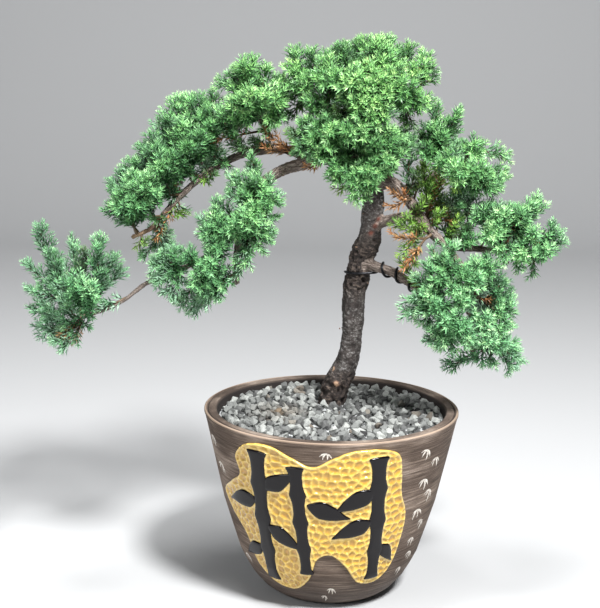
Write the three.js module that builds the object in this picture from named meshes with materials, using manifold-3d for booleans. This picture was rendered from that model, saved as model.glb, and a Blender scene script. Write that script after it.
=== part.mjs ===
// Procumbens juniper bonsai in a round stoneware pot.
// Millimetres, +Z up. The origin is the middle of the pot's flat foot, and -Y is the side seen from
// the front.

import * as THREE from "three";
import { mergeVertices } from "three/addons/utils/BufferGeometryUtils.js";
import { TessellateModifier } from "three/addons/modifiers/TessellateModifier.js";
import Module from "manifold-3d";

const wasm = await Module();
wasm.setup();

const PIECE_GAP = 0.3; // between neighbouring pieces

// Pot: outside and inside walls as [radius, height]
const POT_SIDES = 44;
const POT_OUTSIDE = [[44, 0], [54, 2.5], [63, 9], [73, 21], [84, 42], [99, 90], [117.6, 173.2]];
const POT_RIM = [[116.4, 174], [114.6, 172.6], [113.2, 173.8], [106.6, 173.8]];
const POT_INSIDE = [[105.6, 172.4], [88, 90], [69, 36], [46, 12], [0, 12]];
const DRAIN_RADIUS = 5;
const DRAIN_RING = 30; // the holes' distance from the middle of the foot
const DRAIN_COUNT = 3;
const DRAIN_SIDES = 10;
const DRILL_LENGTH = 40; // both ways through the floor

// Glazed panel and its bamboo, drawn flat as [degrees round the wall, height] and bent onto the wall
const MM_PER_DEGREE = 1.7;
const PANEL_RAISED = 1.6;
const MOTIF_RAISED = 1.5;
const RELIEF_ROOT = 1.5; // how deep the relief is sunk in the wall
const PANEL_OUTLINE = [
  [-66, 108], [-56, 122], [-48, 133], [-49, 150], [-41, 164], [-29, 167], [-18, 158], [-9, 151],
  [0, 160], [9, 167], [21, 167], [30, 160], [33, 142], [35, 121], [40, 100], [41, 72], [39, 48],
  [31, 31], [18, 32], [9, 50], [0, 63], [-8, 57], [-13, 36], [-24, 22], [-40, 26], [-50, 46],
  [-53, 70], [-61, 90],
];
const PANEL_STEPS = 36;
const RELIEF_EDGE = 30; // longest flat edge before the bend
const RELIEF_PASSES = 10; // most rounds of splitting for that
const CULMS = [
  { foot: [-38, 30], top: [-35, 160], width: 16, joints: 2 },
  { foot: [-14, 42], top: [-17, 150], width: 13, joints: 2 },
  { foot: [26, 36], top: [20, 160], width: 14.5, joints: 2 },
];
// Leaves as [degrees, height, direction in degrees, length]
const LEAVES = [
  [-39, 112, 194, 36], [-33, 124, 36, 34], [-41, 64, 208, 30], [-34, 88, -34, 38],
  [-12, 114, -20, 38], [20, 98, 206, 38], [20, 128, 212, 38], [28, 72, -52, 26],
];
const LEAF_WIDTH = 18;
const CULM_JOINT = 0.56; // half its width at a joint, as a share
const CULM_BETWEEN = 0.42;

// Filling
const WALL_CLEARANCE = 0.6;
const SOIL_BOTTOM = 14;
const SOIL_TOP = 158;
const GRAVEL_BOTTOM = 158.3;
const GRAVEL_EDGE = 168.6; // height of the top dressing at the wall
const GRAVEL_CROWN = 170.4; // and in the middle
const GRAVEL_RISE = 0.5; // of the plain bed under the stones, in the middle
const FILL_SIDES = 24;
const STONE_SIZE = 8.8; // from the middle of a stone to its corners
const STONE_SINK = 1.2; // the joints between stones, below the surface
const STONE_RISE = 2.2;
const STONE_WANDER = 0.34; // how far its corners stray, as a share of its size
const STONE_TOP = 0.5; // size of the flat on top, as a share
const STONE_TILT = 3; // most difference in height between the corners of its top
const STONE_UNEVEN = 2.4; // and between whole stones
const STONE_SPIN = 0.5; // most difference in how they are turned, in radians
const STONE_VARY = 0.2; // and in the size of the flat on top, as a share
const STONE_ROOT = 2; // how far above the bed's bottom they start
const STONE_CLEAR = 1.25; // from the wall to the outermost middles, in stone sizes
const TRUNK_HOLE = 0.5; // the hole's clearance round the trunk
const TRUNK_HOLE_SIDES = 12;
const TRUNK_HOLE_POINTS = 4; // points of the trunk's route that it follows
const SCREEN_RADIUS = 41;
const SCREEN_THICK = 1;
const SCREEN_OPENING = 3.2;
const SCREEN_PITCH = 4.4;
const SCREEN_SIDES = 18;

// Branches as [x, y, z, radius], from the root end to the tip, and how many sides each has
const BRANCHES = {
  trunk: { sides: 9, route: [
    [-2, 39, 106, 11], [-1, 39, 150, 12.6], [1, 38, 168, 12.4], [5, 37, 184, 12.4], [9, 36, 194, 12.2],
    [15, 34.5, 208, 10.6], [18, 33, 222, 10], [19, 31.5, 240, 10], [19.5, 30.5, 262, 10.2],
    [20.5, 29, 280, 11], [23, 26.5, 296, 10.6], [27, 24, 312, 10.8], [31.5, 22.5, 325, 11.2],
    [34, 20.5, 340, 9.8], [35, 18, 357, 9.9], [34.5, 16.5, 372, 9.9], [32, 14, 387, 9.4],
    [26, 10, 408, 8], [21, 6, 426, 5.6], [17, 4, 444, 4.6], [18, 2, 462, 3.6], [22, 1, 479, 2.4],
  ] },
  left_limb: { sides: 7, route: [
    [31, 13, 390, 7.5], [13, 6, 404, 7], [-9, 0, 406, 6], [-29, -6, 400, 5.4], [-45, -10, 395, 5],
    [-60, -14, 387, 4.6], [-71, -18, 375, 4.2], [-78, -20, 358, 3.8], [-85, -22, 336, 3.5],
    [-88, -24, 313, 3.2], [-88, -26, 293, 3],
  ] },
  left_arch: { sides: 6, route: [
    [-20, -3, 403, 4], [-34, -2, 409, 4.3], [-49, 0, 412, 4], [-66, 2, 410, 3.8], [-85, 3, 406, 3.6],
    [-104, 3, 397, 3.4], [-120, 2, 386, 3.2], [-136, 0, 372, 3], [-151, -2, 356, 2.7], [-165, -5, 340, 2.4],
    [-183, -8, 331, 2],
  ] },
  far_left: { sides: 6, route: [
    [-82, -21, 345, 2.8], [-101, -22, 327, 2.8], [-122, -24, 313, 2.6], [-145, -26, 303, 2.4],
    [-168, -28, 293, 2.2],
    [-189, -30, 277, 2], [-211, -32, 267, 1.9], [-230, -34, 262, 1.7],
  ] },
  crown_left: { sides: 5, route: [[19, 5, 436, 3], [3, 4, 445, 3], [-13, 3, 454, 2.5], [-26, 2, 464, 2]] },
  crown_right: { sides: 5, route: [[18, 3, 451, 3], [36, 2, 458, 2.9], [56, 2, 464, 2.4], [70, 1, 466, 2]] },
  crown_back: { sides: 5, route: [
    [25, 10, 412, 3.6], [24, 28, 426, 3.2], [20, 46, 443, 2.6], [19, 58, 455, 2],
  ] },
  arch_top: { sides: 5, route: [
    [-54, 0, 411, 2.8], [-61, 2, 425, 2.7], [-69, 3, 439, 2.4], [-73, 3, 453, 2],
  ] },
  right_limb: { sides: 7, route: [
    [33, 15, 378, 7], [46, 8, 383, 6.6], [56, 3, 379, 6], [66, 0, 368, 5.4], [77, -2, 354, 5],
    [90, -3, 336, 4.6], [106, -3, 327, 4], [126, -2, 325, 3.4], [148, -1, 323, 2.8], [168, 0, 325, 2.2],
  ] },
  right_rise: { sides: 5, route: [
    [58, 2, 376, 3.6], [77, 8, 381, 3.2], [93, 12, 392, 2.8], [109, 12, 399, 2.4], [125, 10, 398, 2],
  ] },
  right_arm: { sides: 6, route: [
    [36, 19, 341, 5], [52, 8, 349, 4.6], [64, -3, 353, 4.2], [76, -13, 350, 3.9], [89, -20, 340, 3.6],
    [103, -23, 325, 3.2], [117, -23, 307, 2.8], [126, -22, 289, 2.2],
  ] },
  wired_branch: { sides: 6, route: [
    [26, 24, 306, 5], [41, 14, 303, 4.6], [55, 4, 300, 4.3], [67, -5, 294, 4], [79, -12, 285, 3.7],
    [92, -17, 272, 3.3], [109, -20, 257, 2.9], [122, -22, 241, 2.8], [131, -24, 224, 2.8],
  ] },
};
// Sawn stubs left by pruning, as [root, end, radius]
const STUBS = [
  [[8, 36, 196], [-6, 25, 202], 5],
  [[12, 35, 214], [2, 21, 217], 3.6],
];
const LUMP = 0.035; // share of the radius by which bark swells and shrinks
const STUB_ROOT = 1.15; // how much wider a stub is at its root

// Training wire, wound round the trunk and out along one branch
const WIRE_RADIUS = 1.2;
const WIRE_SIDES = 4;
const WIRE_STEPS = 8; // to a turn
const WIRE_TRUNK = { from: 0.478, to: 0.517, turns: 0.75, start: 20 };
const WIRE_BRANCH = { from: 0.1, to: 0.7, turns: 6, start: 270 };

// Sprays: the end of the twig that carries each, and its lobes as [x, y, z of the tip, half width]
const SPRAYS = {
  far_left_1: { on: "far_left", base: [-238, -36, 273],
    lobes: [[-263, -34, 346, 13], [-276, -44, 289, 15]] },
  far_left_2: { on: "far_left", base: [-228, -24, 270],
    lobes: [[-241, 4, 330, 12], [-262, 12, 288, 14]] },
  far_left_3: { on: "far_left", base: [-213, -32, 275],
    lobes: [[-206, -36, 337, 14], [-189, -18, 303, 12]] },
  far_left_4: { on: "far_left", base: [-224, -42, 260],
    lobes: [[-243, -46, 235, 15], [-268, -30, 253, 14]] },
  far_left_5: { on: "far_left", base: [-218, -46, 270],
    lobes: [[-233, -76, 304, 17], [-210, -74, 300, 14]] },
  arch_end: { on: "left_arch", base: [-180, -10, 341],
    lobes: [[-204, -18, 361, 15], [-203, -6, 381, 14], [-176, -50, 362, 16]] },
  arch_1: { on: "left_arch", base: [-165, -6, 352], lobes: [[-187, -6, 404, 17], [-180, -42, 380, 17]] },
  arch_2: { on: "left_arch", base: [-147, -2, 370], lobes: [[-167, -2, 428, 17], [-155, -46, 400, 18]] },
  arch_3: { on: "left_arch", base: [-129, 0, 390], lobes: [[-143, 2, 458, 17], [-131, -40, 416, 17]] },
  arch_4: { on: "left_arch", base: [-111, 2, 404], lobes: [[-122, 4, 459, 14], [-109, -30, 436, 15]] },
  arch_low: { on: "left_arch", base: [-160, 6, 334],
    lobes: [[-170, 20, 283, 14], [-183, 6, 306, 11], [-144, 26, 309, 11]] },
  arch_back_1: { on: "left_arch", base: [-145, 16, 370],
    lobes: [[-182, 56, 394, 20], [-158, 58, 430, 20]] },
  arch_back_2: { on: "left_arch", base: [-118, 18, 391],
    lobes: [[-128, 62, 426, 20], [-112, 64, 394, 16]] },
  mid_1: { on: "arch_top", base: [-74, 2, 458], lobes: [[-76, -2, 492, 15], [-95, -4, 480, 15]] },
  mid_2: { on: "arch_top", base: [-64, 0, 446],
    lobes: [[-51, 0, 477, 15], [-53, -36, 458, 14], [-62, -20, 427, 12]] },
  mid_3: { on: "arch_top", base: [-77, -8, 438],
    lobes: [[-93, -38, 454, 18], [-74, -50, 466, 16], [-99, 4, 428, 12]] },
  mid_4: { on: "arch_top", base: [-67, 16, 436], lobes: [[-82, 60, 462, 20], [-55, 58, 442, 16]] },
  crown_1: { on: "crown_left", base: [-29, 2, 469], lobes: [[-41, 0, 499, 14], [-38, -26, 468, 15]] },
  crown_2: { on: "crown_left", base: [-6, -4, 460], lobes: [[-11, -2, 498, 16], [-20, -42, 477, 16]] },
  crown_3: { on: "trunk", base: [23, 0, 486], lobes: [[22, 0, 510, 13], [5, 8, 502, 14]] },
  crown_4: { on: "crown_right", base: [40, -3, 468], lobes: [[49, -2, 511, 15], [37, -40, 492, 17]] },
  crown_5: { on: "crown_right", base: [74, 0, 470], lobes: [[75, 0, 499, 14], [86, -4, 476, 14]] },
  crown_6: { on: "crown_right", base: [58, -8, 460], lobes: [[74, -34, 456, 16], [52, -56, 474, 18]] },
  crown_7: { on: "trunk", base: [20, -12, 456], lobes: [[12, -60, 480, 18], [32, -62, 457, 17]] },
  crown_8: { on: "crown_back", base: [19, 63, 461],
    lobes: [[15, 86, 488, 18], [-9, 74, 477, 18], [45, 74, 484, 18]] },
  crown_9: { on: "crown_back", base: [25, 48, 432], lobes: [[59, 76, 452, 20], [-9, 78, 440, 20]] },
  front_1: { on: "left_limb", base: [-2, -10, 417],
    lobes: [[-33, -38, 439, 16], [-36, -40, 417, 13], [-8, -58, 434, 16], [-17, -48, 406, 11]] },
  front_2: { on: "trunk", base: [23, -8, 417], lobes: [[22, -62, 437, 16], [46, -50, 436, 15]] },
  front_3: { on: "left_limb", base: [18, -11, 399], lobes: [[11, -54, 391, 15], [32, -50, 384, 14]] },
  front_4: { on: "right_limb", base: [44, -5, 393], lobes: [[62, -28, 419, 14], [43, -56, 409, 14]] },
  rise_1: { on: "right_rise", base: [94, 12, 403],
    lobes: [[91, 12, 453, 13], [109, 6, 438, 14], [80, -20, 410, 13]] },
  rise_2: { on: "right_rise", base: [118, 10, 408], lobes: [[132, 6, 431, 14], [157, 6, 406, 13]] },
  rise_3: { on: "right_rise", base: [121, 1, 390],
    lobes: [[149, -4, 377, 14], [132, -34, 398, 15], [100, -42, 400, 15]] },
  rise_4: { on: "right_rise", base: [111, 26, 392], lobes: [[131, 66, 408, 18], [104, 60, 417, 16]] },
  right_1: { on: "right_limb", base: [149, -7, 334],
    lobes: [[138, -8, 366, 14], [122, -28, 361, 14], [148, -40, 318, 14]] },
  right_2: { on: "right_limb", base: [167, -2, 336], lobes: [[184, -2, 373, 12], [164, -32, 361, 14]] },
  right_3: { on: "right_limb", base: [178, -3, 324],
    lobes: [[208, -6, 333, 12], [185, -36, 326, 13], [178, -12, 301, 8]] },
  right_4: { on: "right_limb", base: [157, 22, 326], lobes: [[182, 62, 338, 16], [150, 60, 332, 16]] },
  low_1: { on: "right_arm", base: [99, -32, 309], lobes: [[84, -38, 334, 8], [102, -58, 320, 14]] },
  low_2: { on: "right_arm", base: [121, -31, 298], lobes: [[139, -26, 316, 15], [122, -64, 306, 16]] },
  low_3: { on: "wired_branch", base: [91, -26, 280],
    lobes: [[59, -36, 281, 9], [83, -56, 292, 13], [77, -38, 258, 12]] },
  low_4: { on: "wired_branch", base: [106, -30, 259],
    lobes: [[97, -68, 274, 16], [118, -68, 254, 15], [96, -38, 236, 12]] },
  low_5: { on: "right_arm", base: [133, -20, 281], lobes: [[167, -20, 285, 15], [152, -46, 272, 16]] },
  low_6: { on: "wired_branch", base: [136, -24, 241], lobes: [[171, -24, 223, 11], [148, -54, 246, 15]] },
  low_7: { on: "right_arm", base: [134, 12, 275],
    lobes: [[159, 54, 276, 18], [123, 52, 266, 18], [145, 50, 238, 18]] },
  inner_1: { on: "left_limb", base: [-69, -29, 371],
    lobes: [[-76, -28, 399, 11], [-97, -38, 375, 14], [-49, -30, 372, 12], [-63, -60, 367, 14]] },
  inner_2: { on: "left_limb", base: [-78, -33, 345], lobes: [[-51, -36, 335, 13], [-76, -72, 358, 17]] },
  inner_3: { on: "far_left", base: [-100, -31, 336],
    lobes: [[-110, -26, 361, 7], [-93, -62, 342, 15], [-121, -34, 341, 14]] },
  inner_4: { on: "far_left", base: [-139, -35, 309],
    lobes: [[-164, -32, 312, 12], [-144, -44, 326, 13], [-149, -38, 282, 12]] },
  inner_5: { on: "far_left", base: [-113, -33, 309],
    lobes: [[-108, -70, 321, 16], [-124, -64, 298, 15]] },
  inner_6: { on: "left_limb", base: [-94, -34, 302],
    lobes: [[-125, -38, 266, 10], [-102, -58, 290, 14]] },
  inner_7: { on: "left_limb", base: [-81, 8, 338],
    lobes: [[-67, 48, 340, 18], [-97, 52, 339, 18], [-119, 46, 312, 16]] },
  dead_1: { on: "right_arm", base: [80, -26, 337], lobes: [[47, -32, 341, 7], [62, -36, 310, 7]] },
  dead_2: { on: "right_limb", base: [67, -10, 370], lobes: [[46, -24, 378, 7], [45, -26, 362, 6]] },
};

// Stems, shoots and needles
const STEM_RADIUS = 1.6;
const FORK_LENGTH = 2.6; // the short stretch where a stem divides into its lobes
const ROD_RADIUS = 1.15;
const NEEDLE_LENGTH = 6.5;
const NEEDLE_RADIUS = 0.5;
const NEEDLE_LEAN = 0.6; // forward part of a needle's direction
const NEEDLE_APART = 0.15; // between needles of one spray
const NEEDLE_REACH = 0.7; // how far a needle stands off its shoot, as a share of its length
const WHORL_LENGTH = 2.3;
const WHORL_PITCH = 12; // along a lobe
const LOBE_BARE = 0.2; // share of a lobe with no needles, next to the fork
const SIDE_SHOOT_PITCH = 28; // mm of a lobe for each side shoot
const LOBE_COMMON = 14; // the half width of a common lobe
const LOBE_MORE = 8; // mm of half width beyond it for one side shoot more
const SHOOT_SHORTEST = 6;
const SHOOT_LEAN = 0.7; // forward part of a side shoot's direction
const SHOOT_LEAST = 0.4; // least reach of a side shoot, as the square of its share of the half width
const SHOOT_TRIES = 6;
const SHOOT_CLEAR = 2 * ROD_RADIUS; // a side shoot's own half width, with room round it
const SHOOT_TRY_TURN = 1.1; // radians between tries
const SQUARE_LEAST = 0.5; // how slantwise a stem may meet the bark, as a cosine
const END_ONWARD = 0.6; // from here on, as a cosine, a stem goes on from its branch's end
const STEM_RAKE = 0.3; // how far back along its branch a stem leaves, as a share of its length
const GOLDEN_ANGLE = 2.39996;
const NEIGHBOUR_LIMIT = 12; // distances beyond this needn't be known

const v3 = (p) => new THREE.Vector3(p[0], p[1], p[2]);

// A repeatable random draw from 0 to 1
function drawer(seed) {
  let state = seed >>> 0;
  return () => {
    state = (state + 0x6d2b79f5) >>> 0;
    let t = Math.imul(state ^ (state >>> 15), 1 | state);
    t = (t + Math.imul(t ^ (t >>> 7), 61 | t)) ^ t;
    return ((t ^ (t >>> 14)) >>> 0) / 4294967296;
  };
}

// Solids and meshes

function solidOf(geometry) {
  const bare = geometry.clone();
  bare.deleteAttribute("normal");
  bare.deleteAttribute("uv");
  const merged = mergeVertices(bare, 1e-4);
  return new wasm.Manifold(
    new wasm.Mesh({
      numProp: 3,
      vertProperties: new Float32Array(merged.attributes.position.array),
      triVerts: new Uint32Array(merged.index.array),
    }),
  );
}

function solidFrom(points, faces) {
  const geometry = new THREE.BufferGeometry();
  geometry.setFromPoints(points);
  geometry.setIndex(faces);
  const made = new wasm.Manifold(
    new wasm.Mesh({
      numProp: 3,
      vertProperties: new Float32Array(geometry.attributes.position.array),
      triVerts: new Uint32Array(faces),
    }),
  );
  if (made.volume() < 0) throw new Error("a solid is inside out");
  return made;
}

const joined = (solids) => solids.reduce((all, one) => all.add(one));

// The largest body of a solid, so that no loose scrap is kept
function mainBody(solid) {
  const bodies = solid.decompose();
  return bodies.sort((a, b) => b.volume() - a.volume())[0];
}

function geometryOf(solid) {
  const mesh = solid.getMesh();
  const geometry = new THREE.BufferGeometry();
  const positions = new Float32Array(mesh.numVert * 3);
  for (let i = 0; i < mesh.numVert; i++) {
    for (let k = 0; k < 3; k++) positions[3 * i + k] = mesh.vertProperties[mesh.numProp * i + k];
  }
  geometry.setAttribute("position", new THREE.BufferAttribute(positions, 3));
  geometry.setIndex(new THREE.BufferAttribute(new Uint32Array(mesh.triVerts), 1));
  geometry.computeVertexNormals();
  return geometry;
}

const group = new THREE.Group();

function addPiece(name, solid, colour, roughness, metalness = 0) {
  const look = { color: colour, roughness, metalness, flatShading: true };
  const mesh = new THREE.Mesh(geometryOf(solid), new THREE.MeshStandardMaterial(look));
  mesh.name = name;
  group.add(mesh);
}

// Pot

const lathe = (profile, sides) => {
  const turned = new THREE.LatheGeometry(profile.map((p) => new THREE.Vector2(p[0], p[1])), sides);
  turned.rotateX(Math.PI / 2); // the lathe turns about Y, the pot stands along Z
  return solidOf(turned);
};

function radiusAt(profile, height) {
  const rising = profile.filter((p) => p[0] > 0).sort((a, b) => a[1] - b[1]);
  for (let i = 1; i < rising.length; i++) {
    const [r0, z0] = rising[i - 1];
    const [r1, z1] = rising[i];
    if (height <= z1) return r0 + ((r1 - r0) * (height - z0)) / (z1 - z0);
  }
  return rising[rising.length - 1][0];
}

// Bends a flat extrusion, x along the wall, y up and z outwards, onto the pot's outside
function bentOntoWall(shape, inner, outer, edge) {
  const flat = new THREE.ExtrudeGeometry(shape, { depth: outer - inner, bevelEnabled: false });
  const fine = new TessellateModifier(edge, RELIEF_PASSES).modify(flat.index ? flat.toNonIndexed() : flat);
  const position = fine.attributes.position;
  for (let i = 0; i < position.count; i++) {
    const turn = THREE.MathUtils.degToRad(position.getX(i) / MM_PER_DEGREE);
    const height = position.getY(i);
    const radius = radiusAt(POT_OUTSIDE, height) + inner + position.getZ(i);
    position.setXYZ(i, radius * Math.sin(turn), -radius * Math.cos(turn), height);
  }
  return solidOf(fine);
}

const flatPoint = ([degrees, height]) => new THREE.Vector2(degrees * MM_PER_DEGREE, height);

function panelShape() {
  const loop = new THREE.CatmullRomCurve3(
    PANEL_OUTLINE.map((p) => new THREE.Vector3(flatPoint(p).x, p[1], 0)),
    true,
    "centripetal",
  );
  const points = loop.getSpacedPoints(PANEL_STEPS).slice(0, -1);
  return new THREE.Shape(points.map((p) => new THREE.Vector2(p.x, p.y)));
}

// A culm: a slim bar, a little wider at each joint
function culmShape({ foot, top, width, joints }) {
  const from = flatPoint(foot);
  const to = flatPoint(top);
  const along = to.clone().sub(from).normalize();
  const across = new THREE.Vector2(-along.y, along.x);
  const left = [];
  const right = [];
  for (let i = 0; i <= 2 * joints; i++) {
    const half = (i % 2 ? CULM_BETWEEN : CULM_JOINT) * width;
    const middle = from.clone().lerp(to, i / (2 * joints));
    left.push(middle.clone().addScaledVector(across, half));
    right.unshift(middle.clone().addScaledVector(across, -half));
  }
  return new THREE.Shape([...right, ...left]);
}

function leafShape([degrees, height, direction, length]) {
  const from = flatPoint([degrees, height]);
  const turn = THREE.MathUtils.degToRad(direction);
  const along = new THREE.Vector2(Math.cos(turn), Math.sin(turn));
  const across = new THREE.Vector2(-along.y, along.x);
  const at = (share, side) => {
    const middle = from.clone().addScaledVector(along, share * length);
    return middle.addScaledVector(across, side * LEAF_WIDTH);
  };
  const lower = [at(0, 0), at(0.3, -0.5), at(0.68, -0.36)];
  return new THREE.Shape([...lower, at(1, 0.04), at(0.66, 0.34), at(0.28, 0.5)]);
}

function drainCentres() {
  return Array.from({ length: DRAIN_COUNT }, (_, i) => {
    const turn = (2 * Math.PI * i) / DRAIN_COUNT + Math.PI / 2;
    return new THREE.Vector2(DRAIN_RING * Math.cos(turn), DRAIN_RING * Math.sin(turn));
  });
}

function potSolid() {
  let pot = lathe([[0, 0], ...POT_OUTSIDE, ...POT_RIM, ...POT_INSIDE], POT_SIDES);
  const panel = bentOntoWall(panelShape(), -RELIEF_ROOT, PANEL_RAISED, RELIEF_EDGE);
  const motifs = [...CULMS.map(culmShape), ...LEAVES.map(leafShape)];
  const highest = PANEL_RAISED + MOTIF_RAISED;
  const bent = motifs.map((shape) => bentOntoWall(shape, -RELIEF_ROOT, highest, RELIEF_EDGE));
  pot = joined([pot, panel, ...bent]);
  for (const centre of drainCentres()) {
    const drill = new THREE.CylinderGeometry(DRAIN_RADIUS, DRAIN_RADIUS, DRILL_LENGTH, DRAIN_SIDES);
    drill.rotateX(Math.PI / 2);
    drill.translate(centre.x, centre.y, 0);
    pot = pot.subtract(solidOf(drill));
  }
  return pot;
}

// Points evenly round a centre, square to one direction
function ringRound(centre, side, along, radius, count) {
  const other = along.clone().cross(side);
  return Array.from({ length: count }, (_, k) => {
    const turn = (2 * Math.PI * k) / count;
    const out = centre.clone().addScaledVector(side, radius * Math.cos(turn));
    return out.addScaledVector(other, radius * Math.sin(turn));
  });
}

// Wood

// Rings along a route, carried without twist, with a little swelling in the bark
function ringsAlong(route, sides, lump = LUMP) {
  const centres = route.map(v3);
  const rings = [];
  let side = null;
  centres.forEach((centre, i) => {
    const before = centres[Math.max(i - 1, 0)];
    const after = centres[Math.min(i + 1, centres.length - 1)];
    const along = after.clone().sub(before).normalize();
    if (!side) side = Math.abs(along.z) > 0.9 ? new THREE.Vector3(1, 0, 0) : new THREE.Vector3(0, 0, 1);
    side.addScaledVector(along, -side.dot(along)).normalize();
    const ring = ringRound(centre, side, along, route[i][3], sides);
    ring.forEach((point, k) => {
      const swell = 1 - lump * (1 + Math.sin(3.1 * i + 1.9 * k) * Math.cos(1.3 * i - 2.3 * k));
      point.lerpVectors(centre, point.clone(), swell);
    });
    rings.push(ring);
  });
  return rings;
}

function tubeSolid(rings) {
  const sides = rings[0].length;
  const points = rings.flat();
  const faces = [];
  for (let i = 0; i + 1 < rings.length; i++) {
    for (let k = 0; k < sides; k++) {
      const a = i * sides + k;
      const b = i * sides + ((k + 1) % sides);
      faces.push(a, b, a + sides, b, b + sides, a + sides);
    }
  }
  const last = (rings.length - 1) * sides;
  for (let k = 1; k + 1 < sides; k++) {
    faces.push(0, k + 1, k);
    faces.push(last, last + k, last + k + 1);
  }
  return solidFrom(points, faces);
}

// What already fills space, as rods with round ends
const taken = [];

function segmentGap(p1, q1, p2, q2) {
  const d1 = q1.clone().sub(p1);
  const d2 = q2.clone().sub(p2);
  const r = p1.clone().sub(p2);
  const a = d1.lengthSq();
  const e = d2.lengthSq();
  const f = d2.dot(r);
  const c = d1.dot(r);
  const b = d1.dot(d2);
  const bottom = a * e - b * b;
  const clamp = (t) => Math.min(Math.max(t, 0), 1);
  let s = bottom > 1e-9 ? clamp((b * f - c * e) / bottom) : 0;
  let t = (b * s + f) / e;
  if (t < 0) {
    t = 0;
    s = clamp(-c / a);
  } else if (t > 1) {
    t = 1;
    s = clamp((b - c) / a);
  }
  return p1.clone().addScaledVector(d1, s).distanceTo(p2.clone().addScaledVector(d2, t));
}

// The smallest clear distance from a rod to what is taken. A spray's own parts may come closer than other
// pieces, and a part's own rods and its parent's don't count.
function clearance(from, to, radius, owner, part, parent) {
  const middle = from.clone().add(to).multiplyScalar(0.5);
  const reach = from.distanceTo(to) / 2 + radius + NEIGHBOUR_LIMIT;
  let least = NEIGHBOUR_LIMIT;
  for (const rod of taken) {
    const same = rod.owner === owner;
    if (same && (rod.part === part || rod.part === parent)) continue;
    if (middle.distanceTo(rod.middle) > reach + rod.reach) continue;
    if (same && rod.part === "stem") continue;
    const ease = same ? PIECE_GAP - NEEDLE_APART : 0;
    least = Math.min(least, segmentGap(from, to, rod.from, rod.to) - radius - rod.radius + ease);
    if (least < 0) return least;
  }
  return least;
}

function take(from, to, radius, owner, part = owner) {
  const middle = from.clone().add(to).multiplyScalar(0.5);
  taken.push({ from, to, radius, owner, part, middle, reach: from.distanceTo(to) / 2 + radius });
}

function takeRoute(route, owner) {
  for (let i = 1; i < route.length; i++) {
    take(v3(route[i - 1]), v3(route[i]), Math.max(route[i - 1][3], route[i][3]), owner);
  }
}

function nearestOnRoute(route, point) {
  let best = null;
  for (let i = 1; i < route.length; i++) {
    const a = v3(route[i - 1]);
    const line = new THREE.Line3(a, v3(route[i]));
    const spot = line.closestPointToPoint(point, true, new THREE.Vector3());
    const far = spot.distanceTo(point);
    if (!best || far < best.far) best = { far, spot, along: line.delta(new THREE.Vector3()).normalize() };
  }
  return best;
}

function woodSolid() {
  const solids = [];
  for (const { sides, route } of Object.values(BRANCHES)) {
    solids.push(tubeSolid(ringsAlong(route, sides)));
    takeRoute(route, "wood");
  }
  for (const [root, end, radius] of STUBS) {
    solids.push(tubeSolid(ringsAlong([[...root, radius * STUB_ROOT], [...end, radius]], 6, 0)));
    take(v3(root), v3(end), radius, "wood");
  }
  return mainBody(joined(solids));
}

// Soil and gravel

function insideWall(bottom, top) {
  const between = POT_INSIDE.map((p) => p[1]).filter((z) => z > bottom && z < top);
  const heights = [bottom, ...between.sort((a, b) => a - b), top];
  return heights.map((z) => [radiusAt(POT_INSIDE, z) - WALL_CLEARANCE, z]);
}

function trunkHole() {
  const wide = BRANCHES.trunk.route
    .slice(0, TRUNK_HOLE_POINTS)
    .map(([x, y, z, radius]) => [x, y, z, radius + TRUNK_HOLE]);
  wide[0][2] -= TRUNK_HOLE;
  return tubeSolid(ringsAlong(wide, TRUNK_HOLE_SIDES, 0));
}

function soilSolid() {
  const wall = insideWall(SOIL_BOTTOM, SOIL_TOP);
  return lathe([[0, SOIL_BOTTOM], ...wall, [0, SOIL_TOP]], FILL_SIDES).subtract(trunkHole());
}

const gravelHeight = (radius) => GRAVEL_CROWN + (GRAVEL_EDGE - GRAVEL_CROWN) * (radius / 100) ** 2;

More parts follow.
